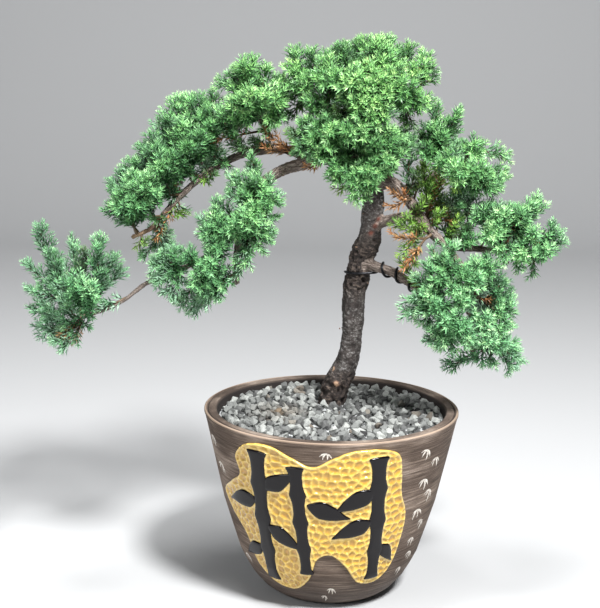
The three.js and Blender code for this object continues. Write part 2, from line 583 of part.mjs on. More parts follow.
// Angular stones side by side, as relief: six-cornered cells of uneven outline, each rising to a tilted flat
function stonesSolid() {
  const draw = drawer(7);
  const points = [];
  const corners = new Map();
  const faces = [];
  const floor = GRAVEL_BOTTOM + STONE_ROOT;
  const uneven = (size) => (draw() - 0.5) * size;
  const cornerAt = (x, y) => {
    const key = Math.round(x) + "," + Math.round(y);
    if (!corners.has(key)) {
      const [u, w] = [x + uneven(STONE_WANDER * STONE_SIZE), y + uneven(STONE_WANDER * STONE_SIZE)];
      points.push(new THREE.Vector3(u, w, gravelHeight(Math.hypot(u, w)) - STONE_SINK));
      points.push(new THREE.Vector3(u, w, floor));
      corners.set(key, points.length - 2);
    }
    return corners.get(key);
  };
  const edges = new Map();
  const widest = radiusAt(POT_INSIDE, GRAVEL_EDGE) - WALL_CLEARANCE - STONE_CLEAR * STONE_SIZE;
  const [stepX, stepY] = [1.5 * STONE_SIZE, Math.sqrt(3) * STONE_SIZE];
  const most = Math.ceil(widest / stepX);
  for (let i = -most; i <= most; i++) {
    for (let j = -most; j <= most; j++) {
      const [x, y] = [i * stepX, (j + (i & 1) / 2) * stepY];
      if (Math.hypot(x, y) > widest) continue;
      const ring = [0, 1, 2, 3, 4, 5].map((k) => {
        const turn = (k * Math.PI) / 3;
        return cornerAt(x + STONE_SIZE * Math.cos(turn), y + STONE_SIZE * Math.sin(turn));
      });
      const rise = gravelHeight(Math.hypot(x, y)) + STONE_RISE + uneven(STONE_UNEVEN);
      const shift = draw() < 0.5 ? 0 : 1;
      const spin = (shift * Math.PI) / 3 + uneven(STONE_SPIN);
      const top = [0, 1, 2].map((k) => {
        const turn = spin + (2 * Math.PI * k) / 3;
        const out = STONE_SIZE * (STONE_TOP + uneven(STONE_VARY));
        const height = rise + uneven(STONE_TILT);
        points.push(new THREE.Vector3(x + out * Math.cos(turn), y + out * Math.sin(turn), height));
        return points.length - 1;
      });
      faces.push(...top);
      for (let k = 0; k < 3; k++) {
        const [a, b, c] = [0, 1, 2].map((n) => ring[(2 * k + shift + n) % 6]);
        faces.push(top[k], a, b, top[k], b, top[(k + 1) % 3], b, c, top[(k + 1) % 3]);
      }
      ring.forEach((a, k) => {
        const b = ring[(k + 1) % 6];
        edges.set(a + "," + b, [a, b]);
        if (k > 0 && k < 5) faces.push(ring[0] + 1, b + 1, a + 1);
      });
    }
  }
  for (const [a, b] of edges.values()) {
    if (!edges.has(b + "," + a)) faces.push(a, a + 1, b, b, a + 1, b + 1);
  }
  return solidFrom(points, faces);
}

function gravelSolid() {
  const edge = GRAVEL_EDGE - STONE_SINK;
  const wall = insideWall(GRAVEL_BOTTOM, edge);
  const bed = lathe([[0, GRAVEL_BOTTOM], ...wall, [0, edge + GRAVEL_RISE]], FILL_SIDES);
  return mainBody(bed.add(stonesSolid()).subtract(trunkHole()));
}

// A disc of plastic net over the drain holes
function screenSolid() {
  const floor = POT_INSIDE.at(-2)[1] + PIECE_GAP;
  const disc = new THREE.CylinderGeometry(SCREEN_RADIUS, SCREEN_RADIUS, SCREEN_THICK, SCREEN_SIDES);
  disc.rotateX(Math.PI / 2);
  disc.translate(0, 0, floor + SCREEN_THICK / 2);
  let net = solidOf(disc);
  for (const centre of drainCentres()) {
    for (const [i, j] of [[-1, -1], [1, -1], [1, 1], [-1, 1]]) {
      const opening = new THREE.BoxGeometry(SCREEN_OPENING, SCREEN_OPENING, 4 * SCREEN_THICK);
      opening.translate(centre.x + (i * SCREEN_PITCH) / 2, centre.y + (j * SCREEN_PITCH) / 2, floor);
      net = net.subtract(solidOf(opening));
    }
  }
  return net;
}

// Training wire

function pointAlong(route, share) {
  const lengths = route.slice(1).map((p, i) => v3(p).distanceTo(v3(route[i])));
  let left = share * lengths.reduce((a, b) => a + b);
  for (let i = 0; i < lengths.length; i++) {
    if (left <= lengths[i] || i === lengths.length - 1) {
      const t = left / lengths[i];
      const centre = v3(route[i]).lerp(v3(route[i + 1]), t);
      const along = v3(route[i + 1]).sub(v3(route[i])).normalize();
      return { centre, along, radius: route[i][3] + (route[i + 1][3] - route[i][3]) * t };
    }
    left -= lengths[i];
  }
  return null;
}

function coilPoints(route, { from, to, turns, start }) {
  const steps = Math.round(turns * WIRE_STEPS);
  const points = [];
  for (let i = 0; i <= steps; i++) {
    const { centre, along, radius } = pointAlong(route, from + ((to - from) * i) / steps);
    const steep = Math.abs(along.z) > 0.9;
    const across = steep ? new THREE.Vector3(1, 0, 0) : new THREE.Vector3(0, 0, 1).cross(along);
    across.addScaledVector(along, -across.dot(along)).normalize();
    const turn = THREE.MathUtils.degToRad(start) + (2 * Math.PI * i) / WIRE_STEPS;
    const out = (radius + WIRE_RADIUS + PIECE_GAP) / Math.cos(Math.PI / WIRE_STEPS);
    across.applyAxisAngle(along, turn);
    points.push(centre.clone().addScaledVector(across, out));
  }
  return points;
}

function wireSolid() {
  const onTrunk = coilPoints(BRANCHES.trunk.route, WIRE_TRUNK);
  const points = [...onTrunk, ...coilPoints(BRANCHES.wired_branch.route, WIRE_BRANCH)];
  const route = points.map((p) => [...p.toArray(), WIRE_RADIUS]);
  takeRoute(route, "wire");
  return tubeSolid(ringsAlong(route, WIRE_SIDES, 0));
}

// Foliage: each spray is one skin, grown outwards from the facets of a slim stem

class Skin {
  constructor(points) {
    this.points = points;
    this.faces = new Set();
    this.add(0, 2, 1);
    this.top = this.add(0, 1, 2);
  }

  add(a, b, c) {
    const face = [a, b, c];
    this.faces.add(face);
    return face;
  }

  middle(face) {
    return face.reduce((sum, i) => sum.add(this.points[i]), new THREE.Vector3()).divideScalar(3);
  }

  normal(face) {
    const [a, b, c] = face.map((i) => this.points[i]);
    return b.clone().sub(a).cross(c.clone().sub(a)).normalize();
  }

  // Draws a facet out to a smaller or larger triangle, turned by a sixth, and returns the facets round it
  drawOut(face, centre, along, radius) {
    this.faces.delete(face);
    const [a, b] = face.map((i) => this.points[i]);
    const side = a.clone().add(b).multiplyScalar(0.5).sub(this.middle(face));
    side.addScaledVector(along, -side.dot(along)).normalize();
    const first = this.points.length;
    this.points.push(...ringRound(centre, side, along, radius, 3));
    const ring = [first, first + 1, first + 2];
    const around = [];
    for (let k = 0; k < 3; k++) {
      const next = (k + 1) % 3;
      around.push(this.add(face[k], face[next], ring[k]));
      around.push(this.add(face[next], ring[next], ring[k]));
    }
    return { around, top: this.add(...ring) };
  }

  // The facet, of some, that faces one way most
  facing(some, way) {
    const left = [...some].filter((face) => this.faces.has(face));
    return left.sort((a, b) => this.normal(b).dot(way) - this.normal(a).dot(way))[0];
  }

  // Raises a facet to a point
  raise(face, tip) {
    this.faces.delete(face);
    this.points.push(tip);
    const top = this.points.length - 1;
    for (let k = 0; k < 3; k++) this.add(face[k], face[(k + 1) % 3], top);
  }

  solid() {
    return solidFrom(this.points, [...this.faces].flat());
  }
}

const rightAngleTo = (along) => {
  const side = Math.abs(along.z) > 0.8 ? new THREE.Vector3(1, 0, 0) : new THREE.Vector3(0, 0, 1);
  return side.addScaledVector(along, -side.dot(along)).normalize();
};

// The point on a line from outside the wood where a stem of this radius, with its square end, clears it
function footOn(woodMesh, outside, inside, radius) {
  const inward = inside.clone().sub(outside).normalize();
  const starts = [outside, ...ringRound(outside, rightAngleTo(inward), inward, radius, 6)];
  const caster = new THREE.Raycaster();
  let least = outside.distanceTo(inside);
  for (const start of starts) {
    caster.set(start, inward);
    const hit = caster.intersectObject(woodMesh)[0];
    if (!hit) continue;
    const square = Math.max(Math.abs(hit.face.normal.dot(inward)), SQUARE_LEAST);
    least = Math.min(least, hit.distance - PIECE_GAP / square);
  }
  return outside.clone().addScaledVector(inward, least);
}

// A stem from its branch to the point where it divides
function startSpray(name, spray, woodMesh) {
  const base = v3(spray.base);
  const route = BRANCHES[spray.on].route;
  const root = nearestOnRoute(route, base);
  const onward = base.clone().sub(root.spot).dot(root.along) > END_ONWARD * root.far;
  const spot = root.spot.clone();
  if (!onward) spot.addScaledVector(root.along, -STEM_RAKE * root.far);
  const along = base.clone().sub(spot).normalize();
  const foot = footOn(woodMesh, base, spot, STEM_RADIUS);
  const skin = new Skin(ringRound(foot, rightAngleTo(along), along, STEM_RADIUS, 3));
  const lobes = spray.lobes.map(([x, y, z, half], i) => {
    const tip = new THREE.Vector3(x, y, z);
    const heading = tip.clone().sub(base).normalize();
    const end = tip.clone().addScaledVector(heading, -NEEDLE_LENGTH);
    return { part: name + i, half, along: heading, length: tip.distanceTo(base), end };
  });
  take(foot, base, STEM_RADIUS, name, "stem");
  for (const lobe of lobes) take(base, lobe.end, ROD_RADIUS, name, lobe.part);
  return { name, dead: name.startsWith("dead"), skin, base, along, lobes, needles: [] };
}

// The lobe that goes on in the stem's direction leaves its end, the others leave facets beside it.
// Each is a slim rod with whorls of needles.
function growLobes(plan) {
  const { skin, base, along } = plan;
  const mean = plan.lobes.reduce((sum, lobe) => sum.add(lobe.along), along.clone()).normalize();
  const below = base.clone().addScaledVector(along, -FORK_LENGTH / 2);
  const above = base.clone().addScaledVector(mean, FORK_LENGTH / 2);
  const low = skin.drawOut(skin.top, below, along, STEM_RADIUS);
  const fork = skin.drawOut(low.top, above, mean, STEM_RADIUS);
  const order = [...plan.lobes].sort((a, b) => b.along.dot(mean) - a.along.dot(mean));
  const free = new Set(fork.around);
  order.forEach((lobe, i) => {
    let face = i === 0 ? fork.top : skin.facing(free, lobe.along);
    free.delete(face);
    const reach = lobe.end.distanceTo(base);
    const whorls = Math.max(1, Math.round(((1 - LOBE_BARE) * reach) / WHORL_PITCH));
    const pointAt = (far) => base.clone().addScaledVector(lobe.along, far);
    lobe.facets = [];
    for (let n = whorls - 1; n >= 0; n--) {
      const far = reach - (n * (1 - LOBE_BARE) * reach) / whorls;
      const bare = skin.drawOut(face, pointAt(far - WHORL_LENGTH), lobe.along, ROD_RADIUS);
      const whorl = skin.drawOut(bare.top, pointAt(far), lobe.along, ROD_RADIUS);
      if (n > 0 || whorls === 1) lobe.facets.push(...whorl.around);
      const faces = n > 0 ? whorl.around : [...whorl.around, whorl.top];
      plan.needles.push({ faces, along: lobe.along, end: pointAt(far), part: lobe.part });
      face = whorl.top;
    }
  });
}

// Grows one side shoot of a lobe, on the side that is wished for, if nothing is in its way
function growShoot(plan, lobe, wish, part) {
  const { skin, base } = plan;
  const face = skin.facing(lobe.facets, wish);
  const middle = skin.middle(face);
  const heading = skin.normal(face).add(wish).normalize();
  heading.addScaledVector(lobe.along, SHOOT_LEAN).normalize();
  const share = middle.clone().sub(base).dot(lobe.along) / lobe.length;
  const reach = lobe.half * Math.sqrt(Math.max(SHOOT_LEAST, 1 - (2 * share - 1) ** 2));
  const length = Math.max(SHOOT_SHORTEST, (reach - NEEDLE_REACH * NEEDLE_LENGTH) * Math.hypot(1, SHOOT_LEAN));
  const end = middle.clone().addScaledVector(heading, length);
  const clear = middle.clone().addScaledVector(heading, SHOOT_CLEAR);
  if (clearance(clear, end, SHOOT_CLEAR, plan.name, part, lobe.part) < PIECE_GAP) return false;
  take(middle, end, ROD_RADIUS, plan.name, part);
  const neck = skin.drawOut(face, end.clone().addScaledVector(heading, -WHORL_LENGTH), heading, ROD_RADIUS);
  const whorl = skin.drawOut(neck.top, end, heading, ROD_RADIUS);
  plan.needles.push({ faces: [...whorl.around, whorl.top], along: heading, end, part });
  return true;
}

// Side shoots leave facets of a lobe's whorls, turned round it by the golden angle
function growShoots(plan, lobe, draw) {
  const count = Math.round(lobe.length / SIDE_SHOOT_PITCH + (lobe.half - LOBE_COMMON) / LOBE_MORE);
  const side = rightAngleTo(lobe.along);
  const first = 2 * Math.PI * draw();
  for (let i = 0; i < count; i++) {
    let grown = false;
    for (let attempt = 0; !grown && attempt < SHOOT_TRIES; attempt++) {
      const turn = first + i * GOLDEN_ANGLE + attempt * SHOOT_TRY_TURN;
      grown = growShoot(plan, lobe, side.clone().applyAxisAngle(lobe.along, turn), lobe.part + "." + i);
    }
  }
}

// A needle stands on each free facet of a whorl, and one at a shoot's tip.
// A facet whose needle would touch anything stays bare.
function growNeedles(plan) {
  for (const { faces, along, end, part } of plan.needles) {
    for (const face of faces.filter((one) => plan.skin.faces.has(one))) {
      const middle = plan.skin.middle(face);
      const out = middle.clone().sub(end);
      out.addScaledVector(along, -out.dot(along));
      const lean = out.length() < 0.2 * ROD_RADIUS ? along.clone() : out.normalize();
      lean.addScaledVector(along, NEEDLE_LEAN).normalize();
      const tip = middle.clone().addScaledVector(lean, NEEDLE_LENGTH);
      if (clearance(middle, tip, NEEDLE_RADIUS, plan.name, part) < PIECE_GAP) continue;
      take(middle, tip, NEEDLE_RADIUS, plan.name, part);
      plan.skin.raise(face, tip);
    }
  }
}

function foliage(wood) {
  const draw = drawer(41);
  const woodMesh = new THREE.Mesh(geometryOf(wood));
  const plans = Object.entries(SPRAYS).map(([name, spray]) => startSpray(name, spray, woodMesh));
  plans.forEach(growLobes);
  plans.forEach((plan) => plan.lobes.forEach((lobe) => growShoots(plan, lobe, draw)));
  plans.forEach(growNeedles);
  return plans;
}

addPiece("pot", potSolid(), 0x5b4a3f, 0.6);
addPiece("drain_screen", screenSolid(), 0x1d1f20, 0.7);
addPiece("soil", soilSolid(), 0x3a2b20, 1);
addPiece("gravel", gravelSolid(), 0xa7a9a8, 0.9);
const wood = woodSolid();
addPiece("trunk", wood, 0x6b5a4c, 0.9);
addPiece("training_wire", wireSolid(), 0x16171a, 0.4, 0.6);
for (const plan of foliage(wood)) {
  addPiece((plan.dead ? "" : "spray_") + plan.name, plan.skin.solid(), plan.dead ? 0xa8683a : 0x4f9a5f, 0.8);
}

export default group;
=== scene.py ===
import math
import random

import bmesh
import bpy
import numpy as np
from mathutils import Matrix, Quaternion, Vector, geometry, kdtree, noise


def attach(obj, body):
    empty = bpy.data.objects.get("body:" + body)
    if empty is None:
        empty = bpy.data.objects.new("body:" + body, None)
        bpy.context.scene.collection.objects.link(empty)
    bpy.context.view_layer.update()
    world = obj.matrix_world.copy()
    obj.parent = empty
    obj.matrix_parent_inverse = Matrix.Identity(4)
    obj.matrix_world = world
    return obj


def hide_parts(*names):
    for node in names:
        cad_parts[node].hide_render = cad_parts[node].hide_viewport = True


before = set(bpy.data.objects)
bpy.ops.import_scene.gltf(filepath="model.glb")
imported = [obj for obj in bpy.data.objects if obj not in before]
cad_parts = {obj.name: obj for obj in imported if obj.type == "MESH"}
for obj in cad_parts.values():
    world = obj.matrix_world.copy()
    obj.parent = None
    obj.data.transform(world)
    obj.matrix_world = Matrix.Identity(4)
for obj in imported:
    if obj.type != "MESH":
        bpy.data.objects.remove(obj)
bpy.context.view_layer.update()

mm = 0.001  # places and sizes in the dictionaries are in millimetres
goldenTurn = 2.39996
rowStep = 0.866  # between the rows of a grid of equal triangles, as a share of its pitch
upward = Vector((0, 0, 1))


# Small helpers

def clamped(value):
    return min(1, max(0, value))


def linkObject(name, mesh):
    made = bpy.data.objects.new(name, mesh)
    bpy.context.scene.collection.objects.link(made)
    return made


def addFields(mesh, fields):
    sockets = {"FLOAT_COLOR": "color", "FLOAT_VECTOR": "vector"}
    for key, (kind, values) in fields.items():
        layer = mesh.attributes.new(key, kind, "POINT")
        number = np.int32 if kind == "INT" else np.float32
        layer.data.foreach_set(sockets.get(kind, "value"), np.asarray(values, number).ravel())


def meshOf(name, points, faces, fields=None, smooth=True):
    mesh = bpy.data.meshes.new(name)
    mesh.from_pydata([tuple(mm * float(v) for v in p) for p in points], [], faces)
    mesh.polygons.foreach_set("use_smooth", [smooth] * len(mesh.polygons))
    addFields(mesh, fields or {})
    mesh.update()
    return mesh


def addPiece(made, material, slot, *nodes):
    made.data.materials.clear()
    made.data.materials.append(material)
    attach(made, "root")
    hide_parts(*nodes)


def addNode(tree, kind, values=None, **settings):
    node = tree.nodes.new(kind)
    for key, value in settings.items():
        setattr(node, key, value)
    for key, value in (values or {}).items():
        if isinstance(value, bpy.types.NodeSocket):
            tree.links.new(value, node.inputs[key])
        else:
            node.inputs[key].default_value = value
    return node.outputs


def evaluated(made):
    graph = bpy.context.evaluated_depsgraph_get()
    mesh = bpy.data.meshes.new_from_object(made.evaluated_get(graph), depsgraph=graph)
    old = made.data
    made.modifiers.clear()
    made.data = mesh
    bpy.data.meshes.remove(old)


# Point of a smooth curve through b and c, a share t of the way between them
def curvePoint(a, b, c, d, t):
    bend = (2 * a - 5 * b + 4 * c - d) * t * t + (3 * b - 3 * c + d - a) * t ** 3
    return 0.5 * (2 * b + (c - a) * t + bend)


def smoothRoute(route, step):
    knots = np.array(route, float)
    knots = np.vstack([2 * knots[0] - knots[1], knots, 2 * knots[-1] - knots[-2]])
    out = []
    for i in range(1, len(knots) - 2):
        a, b, c, d = knots[i - 1:i + 3]
        count = max(2, int(np.linalg.norm((c - b)[:3]) / step))
        out += [curvePoint(a, b, c, d, t) for t in np.arange(count) / count]
    out.append(knots[-2])
    return np.array(out)


def lengthsAlong(route):
    return np.concatenate([[0], np.cumsum(np.linalg.norm(np.diff(route[:, :3], axis=0), axis=1))])


def framesAlong(points):
    ways = np.gradient(np.asarray(points)[:, :3], axis=0)
    ways /= np.linalg.norm(ways, axis=1)[:, None]
    side = np.array([1.0, 0, 0]) if abs(ways[0][2]) > 0.9 else np.array([0, 0, 1.0])
    sides = []
    for way in ways:
        side = side - way * side.dot(way)
        side /= np.linalg.norm(side)
        sides.append(side)
    sides = np.array(sides)
    return ways, sides, np.cross(ways, sides)


def bandFaces(rings, sides, first=0):
    faces = []
    for i in range(rings - 1):
        for k in range(sides):
            a, b = (first + i * sides + n for n in (k, (k + 1) % sides))
            faces.append((a, b, b + sides, a + sides))
    return faces


def tube(route, sides):
    route = np.asarray(route, float)
    _, across, other = framesAlong(route)
    turns = 2 * math.pi * np.arange(sides) / sides
    points = []
    for i, row in enumerate(route):
        for turn in turns:
            points.append(row[:3] + row[3] * (math.cos(turn) * across[i] + math.sin(turn) * other[i]))
    last = (len(route) - 1) * sides
    ends = [tuple(range(sides))[::-1], tuple(range(last, last + sides))]
    return points, bandFaces(len(route), sides) + ends


def gathered(parts):
    points, faces = [], []
    for some, sets in parts:
        faces += [tuple(i + len(points) for i in face) for face in sets]
        points += list(some)
    return points, faces


# Scatters whole objects on the points of a mesh that have a size, each with its own turn, size and pick
def scatter(made, shapes):
    group = bpy.data.node_groups.new("scatter", "GeometryNodeTree")
    for way in ("INPUT", "OUTPUT"):
        group.interface.new_socket("Geometry", in_out=way, socket_type="NodeSocketGeometry")

    def node(kind, values=None, **settings):
        return addNode(group, kind, values, **settings)

    def field(name, kind):
        return node("GeometryNodeInputNamedAttribute", {0: name}, data_type=kind)[0]

    def joined(parts):
        join = group.nodes.new("GeometryNodeJoinGeometry")
        for part in parts:
            group.links.new(part, join.inputs[0])
        return join.outputs[0]

    mesh = node("GeometryNodeSeparateComponents", {0: node("NodeGroupInput")[0]})[0]
    size = field("size", "FLOAT_VECTOR")
    length = node("ShaderNodeVectorMath", {0: size}, operation="LENGTH")["Value"]
    sized = node("ShaderNodeMath", {0: length, 1: 0.001}, operation="GREATER_THAN")[0]
    loose = node("GeometryNodeSeparateGeometry", {0: mesh, 1: sized})
    shown = [node("GeometryNodeObjectInfo", {"Object": shape, "As Instance": True})["Geometry"]
             for shape in reversed(shapes)]
    placed = node("GeometryNodeInstanceOnPoints", {
        "Points": loose[0], "Instance": joined(shown), "Pick Instance": True,
        "Instance Index": field("pick", "INT"), "Rotation": field("turn", "QUATERNION"), "Scale": size})
    real = node("GeometryNodeRealizeInstances", {0: placed[0]})
    node("NodeGroupOutput", {0: joined([real[0], loose[1]])})
    made.modifiers.new("scatter", "NODES").node_group = group
    evaluated(made)


# Materials

class Look:
    def __init__(self, name):
        self.material = bpy.data.materials.new(name)
        self.material.use_nodes = True
        self.tree = self.material.node_tree
        self.tree.nodes.clear()
        self.place = self.add("NewGeometry")["Position"]

    def add(self, kind, values=None, **settings):
        return addNode(self.tree, "ShaderNode" + kind, values, **settings)

    def attribute(self, name, out="Fac"):
        return self.add("Attribute", attribute_name=name)[out]

    def math(self, operation, a, b=0.0):
        return self.add("Math", {0: a, 1: b}, operation=operation)[0]

    def scaled(self, vector, size):
        return self.add("VectorMath", {0: vector, 1: size}, operation="MULTIPLY")[0]

    def noise(self, vector, scale, detail=3.0, roughness=0.55):
        return self.add("TexNoise", {"Vector": vector, "Scale": scale, "Detail": detail, "Roughness": roughness})[0]

    def range(self, value, low, high, start=0.0, end=1.0):
        sockets = {"Value": value, "From Min": low, "From Max": high, "To Min": start, "To Max": end}
        return self.add("MapRange", sockets, clamp=True)[0]

    def mix(self, factor, a, b, blend="MIX"):
        return self.add("Mix", {0: factor, 6: a, 7: b}, data_type="RGBA", blend_type=blend)[2]

    def ramp(self, value, stops):
        node = self.tree.nodes.new("ShaderNodeValToRGB")
        self.tree.links.new(value, node.inputs[0])
        marks = node.color_ramp.elements
        while len(marks) < len(stops):
            marks.new(0.5)
        for mark, (place, colour) in zip(marks, stops):
            mark.position = place
            mark.color = (*colour, 1)
        return node.outputs[0]

    def bump(self, height, strength, distance, normal=None):
        sockets = {"Height": height, "Strength": strength, "Distance": distance}
        if normal is not None:
            sockets["Normal"] = normal
        return self.add("Bump", sockets)[0]

    def finish(self, colour, roughness, normal=None, **more):
        sockets = {"Base Color": colour, "Roughness": roughness}
        sockets.update({key.replace("_", " "): value for key, value in more.items()})
        if normal is not None:
            sockets["Normal"] = normal
        shader = self.add("BsdfPrincipled", sockets)[0]
        self.add("OutputMaterial", {"Surface": shader})
        return self.material


def rgb(red, green, blue):
    return (red, green, blue, 1)


def stonewareLook():
    look = Look("stoneware")
    streaks = look.noise(look.scaled(look.place, (30, 30, 1100)), 1.0, 6.0, 0.7)
    broad = look.noise(look.scaled(look.place, (1, 1, 2.5)), 12, 3.0)
    streaks = look.math("ADD", streaks, look.range(broad, 0.3, 0.7, -0.12, 0.12))
    grain = look.noise(look.place, 900, 2.0)
    colour = look.ramp(streaks, [(0.34, (0.055, 0.038, 0.029)), (0.5, (0.115, 0.084, 0.065)),
                                 (0.62, (0.2, 0.152, 0.12)), (0.76, (0.42, 0.345, 0.28))])
    patch = look.math("MULTIPLY", look.range(broad, 0.46, 0.6), look.range(look.attribute("height"), 95, 160))
    colour = look.mix(look.range(patch, 0, 1, 0, 0.45), colour, look.ramp(streaks, [
        (0.34, (0.09, 0.065, 0.052)), (0.5, (0.26, 0.2, 0.165)), (0.7, (0.5, 0.42, 0.35))]))
    colour = look.mix(look.range(grain, 0.55, 0.75, 0, 0.35), colour, rgb(0.03, 0.022, 0.019))
    # painted shade: darker towards the bottom, where the wall curves under; the same mask sets the roughness
    low = look.range(look.attribute("height"), 0, 45)
    colour = look.mix(look.range(low, 0, 1, 0.65, 0), colour, rgb(0.025, 0.02, 0.019))
    # rim paints a highlight on the rim's outer edge, darkens the lip, and paints shade in its groove, down the inner
    # wall and on the inner floor
    rim = look.attribute("rim")
    colour = look.mix(look.range(rim, 0.3, 1, 0, 0.85), colour, rgb(0.36, 0.27, 0.2))
    colour = look.mix(look.range(rim, -0.3, -1), colour, rgb(0.018, 0.014, 0.013))
    heights = look.math("ADD", streaks, look.math("MULTIPLY", grain, 0.25))
    normal = look.bump(heights, 0.8, 0.0007)
    roughness = look.range(low, 0, 1, 0.5, 0.9)
    return look.finish(colour, roughness, normal, Specular_IOR_Level=0.3)


def goldLook():
    look = Look("gold_glaze")
    dimple = look.attribute("dimple")
    wander = look.noise(look.place, 60, 3.0)
    colour = look.ramp(dimple, [(0.0, (0.44, 0.22, 0.014)), (0.4, (0.5, 0.28, 0.02)), (0.8, (0.64, 0.4, 0.045)),
                                (1.0, (0.82, 0.6, 0.14))])
    colour = look.mix(look.range(wander, 0.42, 0.66, 0, 0.5), colour, rgb(0.44, 0.24, 0.025))
    edge = look.attribute("edge")
    colour = look.mix(look.range(edge, 0.2, 0.8, 0, 0.8), colour, rgb(0.74, 0.52, 0.14))
    normal = look.bump(look.noise(look.place, 420, 3.0), 0.3, 0.0005)
    normal = look.bump(dimple, 1.0, 0.0016, normal)
    return look.finish(colour, 0.24, normal, Coat_Weight=1.0, Coat_Roughness=0.05)


def blackGlazeLook():
    look = Look("black_glaze")
    normal = look.bump(look.noise(look.place, 150, 2.0), 0.12, 0.0006)
    return look.finish(rgb(0.004, 0.003, 0.004), 0.14, normal,
                       Specular_IOR_Level=0.25, Coat_Weight=0.08, Coat_Roughness=0.04)


def paintLook():
    look = Look("pale_marks")
    worn = look.noise(look.place, 700, 3.0)
    colour = look.ramp(worn, [(0.35, (0.3, 0.25, 0.21)), (0.55, (0.72, 0.67, 0.6)), (0.8, (0.85, 0.82, 0.76))])
    return look.finish(colour, 0.6)


def gravelLook():
    look = Look("gravel")
    grain = look.noise(look.place, 800, 4.0, 0.65)
    # the bed (0) and the lower stones (up to 0.25) are painted shade between the upper stones, which take their own
    # tones
    colour = look.ramp(look.attribute("toneAndShade"), [
        (0.0, (0.02, 0.02, 0.02)), (0.25, (0.1, 0.102, 0.1)), (0.6, (0.25, 0.26, 0.248)), (1.0, (0.46, 0.475, 0.45)),
    ])
    colour = look.mix(look.range(grain, 0.35, 0.7, 0.5, 0), colour, rgb(0.08, 0.08, 0.08))
    colour = look.mix(look.attribute("dirt"), colour, rgb(0.16, 0.12, 0.08))
    return look.finish(colour, 0.9, look.bump(grain, 0.5, 0.0007))


def barkLook():
    look = Look("bark")
    grid = look.attribute("grid", "Vector")
    mottle = look.noise(look.scaled(grid, (1, 1, 0.3)), 1.5, 7.0, 0.78)
    broad = look.noise(look.scaled(grid, (1, 1, 0.13)), 0.9, 3.0)
    strings = look.noise(look.scaled(grid, (1, 1, 0.05)), 4.5, 5.0, 0.7)
    grey = look.ramp(mottle, [(0.4, (0.018, 0.014, 0.012)), (0.49, (0.06, 0.05, 0.045)),
                              (0.57, (0.14, 0.13, 0.122)), (0.66, (0.42, 0.41, 0.4))])
    grey = look.mix(look.range(broad, 0.5, 0.62, 0, 0.85), grey, rgb(0.04, 0.03, 0.027))
    brown = look.ramp(strings, [(0.34, (0.045, 0.031, 0.026)), (0.5, (0.19, 0.145, 0.12)), (0.64, (0.44, 0.37, 0.32))])
    thick = look.range(look.attribute("girth"), 5.5, 9)
    colour = look.mix(thick, brown, grey)
    crust = look.ramp(mottle, [(0.42, (0.01, 0.007, 0.006)), (0.51, (0.045, 0.03, 0.024)), (0.6, (0.24, 0.18, 0.14))])
    colour = look.mix(look.range(look.attribute("coarse"), 0, 1, 0, 0.95), colour, crust)
    colour = look.mix(look.attribute("darkPatch"), colour, rgb(0.018, 0.012, 0.01))
    colour = look.mix(look.attribute("red"), colour, rgb(0.19, 0.055, 0.035))
    pale = look.attribute("pale")
    cut = look.ramp(pale, [(0.3, (0.26, 0.15, 0.1)), (0.6, (0.46, 0.3, 0.19)), (1.0, (0.62, 0.5, 0.34))])
    colour = look.mix(look.range(pale, 0.05, 0.4), colour, cut)
    stringy = look.math("MULTIPLY", strings, look.range(thick, 0, 1, 0.9, 0.2))
    heights = look.math("ADD", look.math("MULTIPLY", mottle, 0.9), stringy)
    return look.finish(colour, 0.78, look.bump(heights, 1.0, 0.0022))


def wireLook():
    look = Look("wire")
    return look.finish(rgb(0.012, 0.012, 0.014), 0.32, Metallic=0.7)


def needleLook():
    look = Look("needles")
    parts = look.add("SeparateColor", {0: look.attribute("look", "Color")})
    tone, cool, dry = parts[0], parts[1], parts[2]
    odd = look.math("FRACT", look.math("ADD", look.attribute("odd"), look.attribute("third")))
    reach = look.attribute("reach")
    # tone is painted light and shade: dark for the shaded inside of the masses, pale for lit outer needles and tips
    fresh = look.ramp(tone, [
        (0.0, (0.006, 0.02, 0.008)), (0.26, (0.05, 0.17, 0.038)), (0.5, (0.215, 0.49, 0.13)),
        (0.76, (0.55, 0.84, 0.3)), (1.0, (0.82, 1.0, 0.46)),
    ])
    blue = look.ramp(tone, [
        (0.0, (0.005, 0.018, 0.011)), (0.26, (0.043, 0.16, 0.07)), (0.5, (0.19, 0.48, 0.235)),
        (0.76, (0.5, 0.84, 0.5)), (1.0, (0.76, 1.0, 0.6)),
    ])
    colour = look.mix(cool, fresh, blue)
    # painted light: needle tips paler than their bases
    colour = look.mix(look.range(reach, 0.1, 1, 0, 0.16), colour, rgb(0.5, 0.85, 0.36))
    inside = look.add("NewGeometry")["Backfacing"]
    bloom = look.math("MULTIPLY", inside, look.range(cool, 0, 1, 0.15, 0.5))
    colour = look.mix(bloom, colour, rgb(0.6, 0.86, 0.68))
    colour = look.mix(look.range(odd, 0.35, 1, 0, 0.6), colour, rgb(0.025, 0.09, 0.04))
    yellow = look.mix(look.attribute("look", "Alpha"), colour, rgb(0.86, 1.0, 0.2), "MULTIPLY")
    colour = look.mix(0.6, colour, yellow)
    straw = look.mix(odd, rgb(0.62, 0.29, 0.12), rgb(0.26, 0.1, 0.035))
    colour = look.mix(dry, colour, straw)
    colour = look.mix(look.range(reach, -0.4, -0.9), colour, rgb(0.13, 0.085, 0.05))
    shader = look.add("BsdfPrincipled", {"Base Color": colour, "Roughness": 0.4})[0]
    through = look.add("BsdfTranslucent", {"Color": colour})[0]
    mixed = look.add("MixShader", {0: 0.1, 1: shader, 2: through})[0]
    look.add("OutputMaterial", {"Surface": mixed})
    return look.material


# Camera, lights and floor

